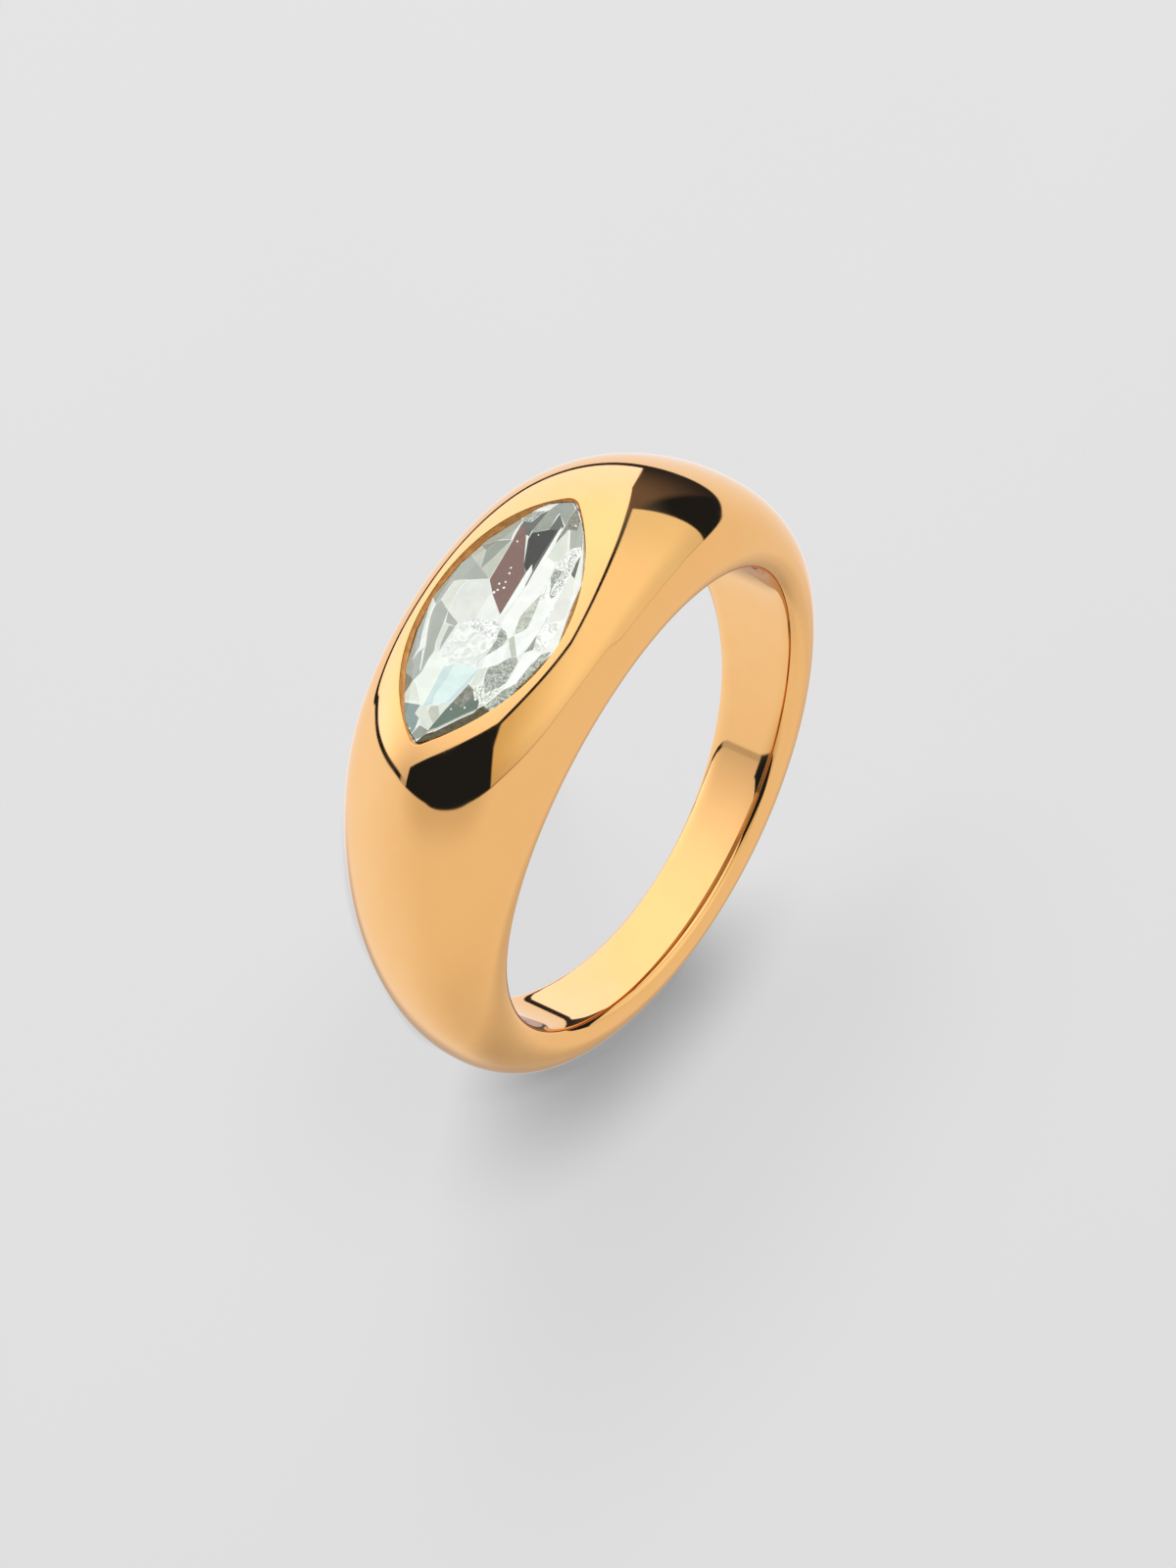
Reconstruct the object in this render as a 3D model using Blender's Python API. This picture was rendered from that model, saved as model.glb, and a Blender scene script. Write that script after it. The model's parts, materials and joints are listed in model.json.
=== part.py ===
"""Cast dome ring with a marquise stone, lying on its side as it rests by itself.

The ring is one casting: a narrow shank that swells into a domed head, with a
marquise seat sunk in the top of the dome. The stone is cut facet by facet from
a marquise blank and sits in the seat with a small clearance all round.

In the ring's own frame the finger hole runs along Z and the head points to -Y.
In the stone's own frame the long axis is X and the table faces +Z.
"""
import math
from collections import namedtuple

import bmesh
import bpy
import numpy as np
from mathutils import Matrix, Vector
from mathutils.geometry import intersect_plane_plane

MM = 0.001

# Finger hole
BORE_DIAMETER = 17.3 * MM

# Metal outside the bore, and width along the finger, at the head and at the back of the shank
HEAD_RISE = 3.43 * MM
SHANK_RISE = 1.42 * MM
HEAD_WIDTH = 8.1 * MM
SHANK_WIDTH = 2.62 * MM

# How the ring swells from the shank, share 0, to the head, share 1. The last two columns
# are how full its section is: the reach of the crown's handle as a share of the half width,
# and of the side's handle as a share of the side's height
Station = namedtuple("Station", "angle_deg rise width crown_fullness side_fullness")
SWELL = (
    Station(0.0, 1.00, 1.000, 0.36, 0.74),
    Station(25.0, 1.14, 0.930, 0.45, 0.66),
    Station(50.0, 0.78, 0.745, 0.61, 0.53),
    Station(80.0, 0.48, 0.445, 0.70, 0.46),
    Station(120.0, 0.31, 0.145, 0.72, 0.50),
    Station(180.0, 0.00, 0.000, 0.64, 0.62),
)

# Flared edge where the side meets the bore, for comfort: its height, its reach into the bore,
# the most of the metal that it may take, and how fully its curve leans out at the side and in the bore
EDGE_RISE = 0.60 * MM
EDGE_SETBACK = 0.75 * MM
EDGE_LIMIT = 0.60
EDGE_FLARE = 0.82
EDGE_LIFT = 0.12

# Stone: outline, then heights above and below the girdle
STONE_LENGTH = 10.0 * MM
STONE_WIDTH = 5.2 * MM
STONE_TIP_RADIUS = 0.35 * MM
STONE_CROWN = 0.30 * MM
STONE_GIRDLE = 0.12 * MM
TABLE_LENGTH_SHARE = 0.84
TABLE_WIDTH_SHARE = 0.78
STAR_HEIGHT_SHARE = 0.52
LOWER_HALF_DEPTH_SHARE = 0.72
KEEL_BREAK_DEPTH_SHARE = 0.60

# Seat: gap round the stone, girdle below the lowest rim, and metal left under the stone
SEAT_CLEARANCE = 0.06 * MM
GIRDLE_DROP = 0.06 * MM
SEAT_FLOOR = 0.65 * MM

# Fineness of the curves
STEPS_AROUND = 72
STEPS_CROWN = 8
STEPS_EDGE = 4
STEPS_STONE_SIDE = 12
STEPS_STONE_TIP = 3
STEPS_SEARCH = 40
STEPS_PROBE = 80
STATION_STEPS = 4
STATION_COUNT = 16

# Height of the uncut blanks over the cut depth, and the widest tilt that the resting search tries
BLANK_MARGIN = 1.5
TILT_LIMIT = math.radians(45.0)

# Finish of the metal and the stone
GOLD_COLOR = (0.98, 0.62, 0.25)
GOLD_ROUGHNESS = 0.08
CRYSTAL_COLOR = (0.86, 0.92, 0.90)
CRYSTAL_ROUGHNESS = 0.02
CRYSTAL_IOR = 1.54

MERGE = 1e-7
FLAT_ANGLE = math.radians(0.1)
SMOOTH_ANGLE = math.radians(32.0)
STONE_SHARP_ANGLE = math.radians(3.0)

BORE_RADIUS = BORE_DIAMETER / 2.0


def clear_scene():
    for item in list(bpy.data.objects):
        bpy.data.objects.remove(item, do_unlink=True)
    for mesh in list(bpy.data.meshes):
        bpy.data.meshes.remove(mesh)


def new_collection(name):
    collection = bpy.data.collections.new(name)
    bpy.context.scene.collection.children.link(collection)
    return collection


def make_material(name, color, metallic, roughness, transmission=0.0, ior=1.5):
    material = bpy.data.materials.new(name)
    material.use_nodes = True
    shader = material.node_tree.nodes["Principled BSDF"]
    shader.inputs["Base Color"].default_value = (*color, 1.0)
    shader.inputs["Metallic"].default_value = metallic
    shader.inputs["Roughness"].default_value = roughness
    shader.inputs["Transmission Weight"].default_value = transmission
    shader.inputs["IOR"].default_value = ior
    return material


def level_ended_spline(places, values):
    """A smooth curve through the values that is level at its first and last place."""
    steps = np.diff(places)
    slopes = np.diff(values) / steps
    count = len(places)
    matrix = np.zeros((count, count))
    right = np.zeros(count)
    matrix[0, :2] = 2.0 * steps[0], steps[0]
    right[0] = 6.0 * slopes[0]
    matrix[-1, -2:] = steps[-1], 2.0 * steps[-1]
    right[-1] = -6.0 * slopes[-1]
    for i in range(1, count - 1):
        matrix[i, i - 1:i + 2] = steps[i - 1], 2.0 * (steps[i - 1] + steps[i]), steps[i]
        right[i] = 6.0 * (slopes[i] - slopes[i - 1])
    bends = np.linalg.solve(matrix, right)

    def value_at(place):
        i = min(max(int(np.searchsorted(places, place)) - 1, 0), count - 2)
        ahead = places[i + 1] - place
        behind = place - places[i]
        step = steps[i]
        curve = (bends[i] * ahead ** 3 + bends[i + 1] * behind ** 3) / (6.0 * step)
        left = (values[i] / step - bends[i] * step / 6.0) * ahead
        return curve + left + (values[i + 1] / step - bends[i + 1] * step / 6.0) * behind

    return value_at


swell_angles, *swell_columns = np.array(SWELL).T
swell_curves = [level_ended_spline(swell_angles, column) for column in swell_columns]


def section_sizes(angle):
    """Rise, half width and the two fullnesses of the ring at an angle from the head, in radians."""
    turn = abs(math.degrees(angle)) % 360.0
    turn = min(turn, 360.0 - turn)
    rise_share, width_share, crown_fullness, side_fullness = (curve(turn) for curve in swell_curves)
    rise = SHANK_RISE + rise_share * (HEAD_RISE - SHANK_RISE)
    width = SHANK_WIDTH + width_share * (HEAD_WIDTH - SHANK_WIDTH)
    return rise, width / 2.0, crown_fullness, side_fullness


def half_section(angle, crown_steps, edge_steps):
    """Half of a section, from the middle of the crown down the side to the bore.

    Returns (distance from the bore's axis, distance from the middle plane) pairs.
    """
    rise, half_width, crown_fullness, side_fullness = section_sizes(angle)
    edge_rise = min(EDGE_RISE, EDGE_LIMIT * rise)
    setback = min(EDGE_SETBACK, EDGE_LIMIT * half_width)
    side_handle = edge_rise + side_fullness * (rise - edge_rise)
    points = []
    for i in range(crown_steps + 1):
        t = i / crown_steps
        near, far = 3.0 * t * (1.0 - t) ** 2, 3.0 * t ** 2 * (1.0 - t)
        height = rise * ((1.0 - t) ** 3 + near) + side_handle * far + edge_rise * t ** 3
        offset = half_width * (crown_fullness * near + far + t ** 3)
        points.append((BORE_RADIUS + height, offset))
    for i in range(1, edge_steps + 1):
        t = 1.0 - i / edge_steps
        near, far = 3.0 * t * (1.0 - t) ** 2, 3.0 * t ** 2 * (1.0 - t)
        height = edge_rise * (EDGE_LIFT * far + t ** 3)
        offset = half_width - setback * ((1.0 - t) ** 3 + (1.0 - EDGE_FLARE) * near)
        points.append((BORE_RADIUS + height, offset))
    return points


def dome_height(across, along):
    """Height of the dome above the bore's axis, over a point beside the head's middle."""
    height = BORE_RADIUS + HEAD_RISE
    for _ in range(STEPS_SEARCH):
        profile = half_section(math.atan2(across, height), STEPS_PROBE, STEPS_EDGE)[:STEPS_PROBE + 1]
        radius = np.interp(along, [offset for _, offset in profile], [r for r, _ in profile])
        height = math.sqrt(max(radius ** 2 - across ** 2, 0.0))
    return height


def marquise_arcs(grow):
    """Side arc and tip arc of the outline, as (centre, radius, start angle, end angle)."""
    half_length, half_width = STONE_LENGTH / 2.0, STONE_WIDTH / 2.0
    tip = STONE_TIP_RADIUS
    side = (half_length ** 2 - 2.0 * half_length * tip + half_width ** 2) / (2.0 * (half_width - tip))
    tip_centre = Vector((half_length - tip, 0.0))
    side_centre = Vector((0.0, half_width - side))
    meet = math.atan2(tip_centre.y - side_centre.y, tip_centre.x - side_centre.x)
    tip_arc = (tip_centre, tip + grow, 0.0, meet)
    side_arc = (side_centre, side + grow, meet, math.pi / 2.0)
    return tip_arc, side_arc


def arc_point(arc, share):
    """Point of an arc and its outward normal."""
    centre, radius, start, end = arc
    angle = start + share * (end - start)
    normal = Vector((math.cos(angle), math.sin(angle)))
    return centre + radius * normal, normal


def marquise_outline(grow):
    """Closed outline of the stone, grown outwards, from the +X tip anticlockwise."""
    tip_arc, side_arc = marquise_arcs(grow)
    quarter = [arc_point(tip_arc, i / STEPS_STONE_TIP)[0] for i in range(STEPS_STONE_TIP)]
    quarter += [arc_point(side_arc, i / STEPS_STONE_SIDE)[0] for i in range(STEPS_STONE_SIDE + 1)]
    upper = quarter + [Vector((-p.x, p.y)) for p in reversed(quarter[:-1])]
    return upper + [Vector((p.x, -p.y)) for p in reversed(upper[1:-1])]


def girdle_stations():
    """The places round the girdle where facets meet it, as (point, normal) pairs.

    Place 0 is the +X tip, 4 the middle of the +Y side, 8 the -X tip, 12 the -Y side.
    """
    tip_arc, side_arc = marquise_arcs(0.0)
    shares = [i / STATION_STEPS for i in range(1, STATION_STEPS + 1)]
    quarter = [arc_point(tip_arc, 0.0)] + [arc_point(side_arc, share) for share in shares]
    upper = quarter + [(Vector((-p.x, p.y)), Vector((-n.x, n.y))) for p, n in reversed(quarter[:-1])]
    lower = [(Vector((p.x, -p.y)), Vector((n.x, -n.y))) for p, n in reversed(upper[1:-1])]
    return upper + lower


def plane_through(a, b, c, inside):
    """Plane through three points, as (point, normal), with the normal away from inside."""
    normal = (b - a).cross(c - a).normalized()
    if normal.dot(inside - a) > 0.0:
        normal = -normal
    return a, normal


def meeting_point(first, second, level):
    """Point where two facets' shared edge passes a level plane."""
    start, direction = intersect_plane_plane(first[0], first[1], second[0], second[1])
    return start + direction * ((level - start.z) / direction.z)


def station_plane(station, level, inner, inside):
    """Plane along the outline's tangent at a station, through an inner point."""
    point, normal = station
    corner = point.to_3d()
    corner.z = level
    along = Vector((-normal.y, normal.x, 0.0)) * STONE_WIDTH
    return plane_through(corner, corner + along, inner, inside)


def crown_facets(stations, girdle_top):
    """Table, bezel, star and upper girdle facets."""
    table_level = girdle_top + STONE_CROWN
    inside = Vector((0.0, 0.0, 0.0))
    corners = [Vector((p.x, p.y, girdle_top)) for p, _ in stations]
    table = {}
    bezels = {}
    for j in range(0, STATION_COUNT, 2):
        p = stations[j][0]
        table[j] = Vector((TABLE_LENGTH_SHARE * p.x, TABLE_WIDTH_SHARE * p.y, table_level))
        bezels[j] = station_plane(stations[j], girdle_top, table[j], inside)
    facets = [(Vector((0.0, 0.0, table_level)), Vector((0.0, 0.0, 1.0)))] + list(bezels.values())
    star_level = girdle_top + STAR_HEIGHT_SHARE * STONE_CROWN
    for j in range(1, STATION_COUNT, 2):
        before, after = j - 1, (j + 1) % STATION_COUNT
        star = meeting_point(bezels[before], bezels[after], star_level)
        facets.append(plane_through(table[before], table[after], star, inside))
        facets.append(plane_through(corners[before], corners[j], star, inside))
        facets.append(plane_through(corners[j], corners[after], star, inside))
    return facets


def pavilion_facets(stations, girdle_base, depth):
    """Main and lower girdle facets, which meet in a keel from tip to tip."""
    inside = Vector((0.0, 0.0, 0.0))
    point = Vector((0.0, 0.0, girdle_base - depth))
    corners = [Vector((p.x, p.y, girdle_base)) for p, _ in stations]
    mains = {j: station_plane(stations[j], girdle_base, point, inside) for j in (2, 4, 6, 10, 12, 14)}
    facets = list(mains.values())
    middle = (point, Vector((0.0, 1.0, 0.0)))
    for j in range(1, STATION_COUNT, 2):
        before, after = j - 1, (j + 1) % STATION_COUNT
        if before in mains and after in mains:
            pair = mains[before], mains[after]
            level = girdle_base - LOWER_HALF_DEPTH_SHARE * depth
        else:
            pair = mains[before if before in mains else after], middle
            level = girdle_base - KEEL_BREAK_DEPTH_SHARE * depth
        meet = meeting_point(*pair, level)
        facets.append(plane_through(corners[before], corners[j], meet, inside))
        facets.append(plane_through(corners[j], corners[after], meet, inside))
    return facets


def blank_mesh(name, outline, low, high):
    """A slab with the given outline between two levels, as a closed mesh."""
    curve = bpy.data.curves.new(name, "CURVE")
    curve.dimensions = "2D"
    curve.fill_mode = "BOTH"
    curve.extrude = (high - low) / 2.0
    spline = curve.splines.new("POLY")
    spline.points.add(len(outline) - 1)
    for point, place in zip(spline.points, outline):
        point.co = (place.x, place.y, 0.0, 1.0)
    spline.use_cyclic_u = True
    holder = bpy.data.objects.new(name, curve)
    bpy.context.scene.collection.objects.link(holder)
    graph = bpy.context.evaluated_depsgraph_get()
    mesh = bpy.data.meshes.new_from_object(holder.evaluated_get(graph))
    bpy.data.objects.remove(holder, do_unlink=True)
    bpy.data.curves.remove(curve)
    blank = bmesh.new()
    blank.from_mesh(mesh)
    bpy.data.meshes.remove(mesh)
    bmesh.ops.remove_doubles(blank, verts=blank.verts, dist=MERGE)
    bmesh.ops.dissolve_limit(blank, angle_limit=FLAT_ANGLE, verts=blank.verts, edges=blank.edges)
    bmesh.ops.translate(blank, verts=blank.verts, vec=(0.0, 0.0, (low + high) / 2.0))
    bmesh.ops.recalc_face_normals(blank, faces=blank.faces)
    return blank


def grind(blank, facets, grow=0.0):
    """Cut each facet's plane through the blank, moved out by grow, and close each cut."""
    for point, normal in facets:
        parts = blank.verts[:] + blank.edges[:] + blank.faces[:]
        cut = bmesh.ops.bisect_plane(blank, geom=parts, dist=MERGE, clear_outer=True,
                                     plane_co=point + grow * normal, plane_no=normal)
        rim = [part for part in cut["geom_cut"] if isinstance(part, bmesh.types.BMEdge)]
        open_rim = [edge for edge in rim if edge.is_boundary]
        if open_rim:
            bmesh.ops.holes_fill(blank, edges=open_rim, sides=0)
    bmesh.ops.remove_doubles(blank, verts=blank.verts, dist=2.0 * MERGE)
    bmesh.ops.dissolve_degenerate(blank, dist=MERGE, edges=blank.edges)
    bmesh.ops.recalc_face_normals(blank, faces=blank.faces)


def mesh_object(name, shape, collection, material=None, sharp_angle=None):
    mesh = bpy.data.meshes.new(name)
    shape.to_mesh(mesh)
    shape.free()
    if sharp_angle is not None:
        mesh.shade_smooth()
        mesh.set_sharp_from_angle(angle=sharp_angle)
    if material is not None:
        mesh.materials.append(material)
    item = bpy.data.objects.new(name, mesh)
    collection.objects.link(item)
    return item


def loft_ring():
    """The casting without its seat: closed sections lofted round the bore."""
    shape = bmesh.new()
    loops = []
    for i in range(STEPS_AROUND):
        angle = 2.0 * math.pi * i / STEPS_AROUND
        half = half_section(angle, STEPS_CROWN, STEPS_EDGE)
        section = [(radius, -offset) for radius, offset in reversed(half[1:])] + half
        outward = Vector((math.sin(angle), -math.cos(angle), 0.0))
        loops.append([shape.verts.new(radius * outward + Vector((0.0, 0.0, z))) for radius, z in section])
    for i, loop in enumerate(loops):
        following = loops[(i + 1) % STEPS_AROUND]
        for j in range(len(loop)):
            k = (j + 1) % len(loop)
            shape.faces.new((loop[j], following[j], following[k], loop[k]))
    bmesh.ops.recalc_face_normals(shape, faces=shape.faces)
    return shape


def resting_tilt(points):
    """Turn about X that lets the head's side and the shank's side both touch the floor."""
    low, high = -TILT_LIMIT, TILT_LIMIT
    for _ in range(STEPS_SEARCH):
        tilt = (low + high) / 2.0
        heights = points[:, 1] * math.sin(tilt) + points[:, 2] * math.cos(tilt)
        if points[heights.argmin(), 1] < 0.0:
            high = tilt
        else:
            low = tilt
    return (low + high) / 2.0


def place_on_side(rest, pieces):
    """Tilt the empty so that the ring, with its seat cut, rests on its side over the origin."""
    graph = bpy.context.evaluated_depsgraph_get()
    points = np.array([tuple(piece.matrix_basis @ vertex.co) for piece in pieces
                       for vertex in piece.evaluated_get(graph).data.vertices])
    tilt = resting_tilt(points)
    turned = points @ np.array(Matrix.Rotation(tilt, 3, "X")).T
    low, high = turned.min(axis=0), turned.max(axis=0)
    rest.rotation_euler = (tilt, 0.0, 0.0)
    rest.location = (-(low[0] + high[0]) / 2.0, -(low[1] + high[1]) / 2.0, -low[2])


def build():
    clear_scene()
    parts = new_collection("marquise_dome_ring")
    cutters = new_collection("cutters")
    gold = make_material("polished_gold", GOLD_COLOR, 1.0, GOLD_ROUGHNESS)
    crystal = make_material("pale_crystal", CRYSTAL_COLOR, 0.0, CRYSTAL_ROUGHNESS,
                            transmission=1.0, ior=CRYSTAL_IOR)

    half_length, half_width = STONE_LENGTH / 2.0, STONE_WIDTH / 2.0
    rim_low = min(dome_height(half_length + SEAT_CLEARANCE, 0.0),
                  dome_height(0.0, half_width + SEAT_CLEARANCE))
    girdle_top = STONE_GIRDLE / 2.0
    girdle_level = rim_low - GIRDLE_DROP - girdle_top
    pavilion_depth = girdle_level - girdle_top - SEAT_CLEARANCE - SEAT_FLOOR - BORE_RADIUS
    stations = girdle_stations()
    pavilion = pavilion_facets(stations, -girdle_top, pavilion_depth)

    rest = bpy.data.objects.new("ring_rest", None)
    parts.objects.link(rest)
    stone_turn = (math.pi / 2.0, 0.0, 0.0)
    stone_place = (0.0, -girdle_level, 0.0)

    body = mesh_object("ring_body", loft_ring(), parts, gold, SMOOTH_ANGLE)

    blank_low = -girdle_top - BLANK_MARGIN * pavilion_depth
    blank_high = girdle_top + BLANK_MARGIN * STONE_CROWN
    stone_shape = blank_mesh("stone_blank", marquise_outline(0.0), blank_low, blank_high)
    grind(stone_shape, crown_facets(stations, girdle_top) + pavilion)
    stone = mesh_object("marquise_stone", stone_shape, parts, crystal, STONE_SHARP_ANGLE)

    seat_floor = (Vector((0.0, 0.0, -girdle_top - pavilion_depth)), Vector((0.0, 0.0, -1.0)))
    seat_shape = blank_mesh("seat_blank", marquise_outline(SEAT_CLEARANCE), blank_low, HEAD_RISE)
    grind(seat_shape, pavilion + [seat_floor], grow=SEAT_CLEARANCE)
    seat = mesh_object("seat_cutter", seat_shape, cutters)
    seat.hide_render = True
    seat.display_type = "WIRE"

    for piece in (stone, seat):
        piece.rotation_euler = stone_turn
        piece.location = stone_place
    cut = body.modifiers.new("seat", "BOOLEAN")
    cut.operation = "DIFFERENCE"
    cut.solver = "EXACT"
    cut.object = seat
    bpy.context.view_layer.update()
    place_on_side(rest, (body, stone))
    for piece in (body, stone, seat):
        piece.parent = rest
    bpy.context.view_layer.update()


build()
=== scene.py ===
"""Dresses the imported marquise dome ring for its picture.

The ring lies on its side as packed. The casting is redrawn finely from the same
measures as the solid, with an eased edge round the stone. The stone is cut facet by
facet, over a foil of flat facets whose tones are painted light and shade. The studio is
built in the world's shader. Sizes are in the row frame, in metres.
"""
import json
import math
from collections import namedtuple
from functools import reduce
from types import SimpleNamespace

import bmesh
import bpy
import numpy as np
from mathutils import Matrix, Vector
from mathutils.geometry import delaunay_2d_cdt, intersect_plane_plane


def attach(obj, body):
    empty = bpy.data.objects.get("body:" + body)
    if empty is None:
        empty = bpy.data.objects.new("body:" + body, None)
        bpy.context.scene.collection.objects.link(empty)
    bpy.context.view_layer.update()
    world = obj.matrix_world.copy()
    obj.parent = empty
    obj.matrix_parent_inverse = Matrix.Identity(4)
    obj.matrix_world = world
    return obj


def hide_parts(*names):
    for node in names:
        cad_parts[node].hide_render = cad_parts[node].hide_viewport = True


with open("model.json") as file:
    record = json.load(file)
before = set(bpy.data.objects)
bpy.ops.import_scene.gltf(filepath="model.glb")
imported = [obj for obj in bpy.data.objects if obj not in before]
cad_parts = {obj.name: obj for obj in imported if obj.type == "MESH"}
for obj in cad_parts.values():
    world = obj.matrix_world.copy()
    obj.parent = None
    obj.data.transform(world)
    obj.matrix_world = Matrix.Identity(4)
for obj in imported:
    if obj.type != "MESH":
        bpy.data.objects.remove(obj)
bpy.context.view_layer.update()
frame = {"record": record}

MM = 0.001

# The casting, as the solid has it
BORE_RADIUS = 8.65 * MM
HEAD_RISE = 3.43 * MM
SHANK_RISE = 1.42 * MM
HEAD_WIDTH = 8.1 * MM
SHANK_WIDTH = 2.62 * MM
Station = namedtuple("Station", "angle_deg rise width crown_fullness side_fullness")
SWELL = (
    Station(0.0, 1.00, 1.000, 0.36, 0.74),
    Station(25.0, 1.14, 0.930, 0.45, 0.66),
    Station(50.0, 0.78, 0.745, 0.61, 0.53),
    Station(80.0, 0.48, 0.445, 0.70, 0.46),
    Station(120.0, 0.31, 0.145, 0.72, 0.50),
    Station(180.0, 0.00, 0.000, 0.64, 0.62),
)
EDGE_RISE = 0.60 * MM
EDGE_SETBACK = 0.75 * MM
EDGE_LIMIT = 0.60
EDGE_FLARE = 0.82
EDGE_LIFT = 0.12

# The stone and its seat, as the solid has them
STONE_LENGTH = 10.0 * MM
STONE_WIDTH = 5.2 * MM
STONE_TIP_RADIUS = 0.35 * MM
STONE_GIRDLE = 0.12 * MM
STONE_CROWN = 0.30 * MM
TABLE_LENGTH_SHARE = 0.84
TABLE_WIDTH_SHARE = 0.78
STAR_HEIGHT_SHARE = 0.52
LOWER_HALF_DEPTH_SHARE = 0.72
KEEL_BREAK_DEPTH_SHARE = 0.60
SEAT_CLEARANCE = 0.06 * MM
GIRDLE_DROP = 0.06 * MM
SEAT_FLOOR = 0.65 * MM

# The foil behind the crown, whose tones are painted light and shade: they stand in for what each
# facet reflects. Its tones were chosen from the facets' colours in the photograph, and its facets run
# from the far tip to the near one, each laid over those before it. The corners were placed where the
# camera sees them through the crown: in mm on a level plane, SEEN_LEVEL above the middle of the stone's
# girdle
PAINTED_TONES = {
    "white": (0.940, 0.947, 0.913), "snow": (0.855, 0.871, 0.831), "offwhite": (0.799, 0.807, 0.761),
    "ivory": (0.761, 0.783, 0.701), "mint": (0.871, 0.922, 0.847), "aqua": (0.768, 0.896, 0.871),
    "aqua_shade": (0.658, 0.783, 0.776), "pale_sage": (0.591, 0.604, 0.521), "sage": (0.456, 0.479, 0.429),
    "grey_green": (0.366, 0.392, 0.342), "slate_blue": (0.301, 0.376, 0.356), "slate": (0.287, 0.287, 0.242),
    "dusk": (0.181, 0.184, 0.171), "bottle": (0.175, 0.227, 0.188), "charcoal": (0.093, 0.093, 0.089),
    "mauve": (0.275, 0.175, 0.153), "olive": (0.141, 0.127, 0.080), "blush": (0.776, 0.610, 0.515),
}
Facet = namedtuple("Facet", "tone corners worn", defaults=(0.0,))
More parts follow.
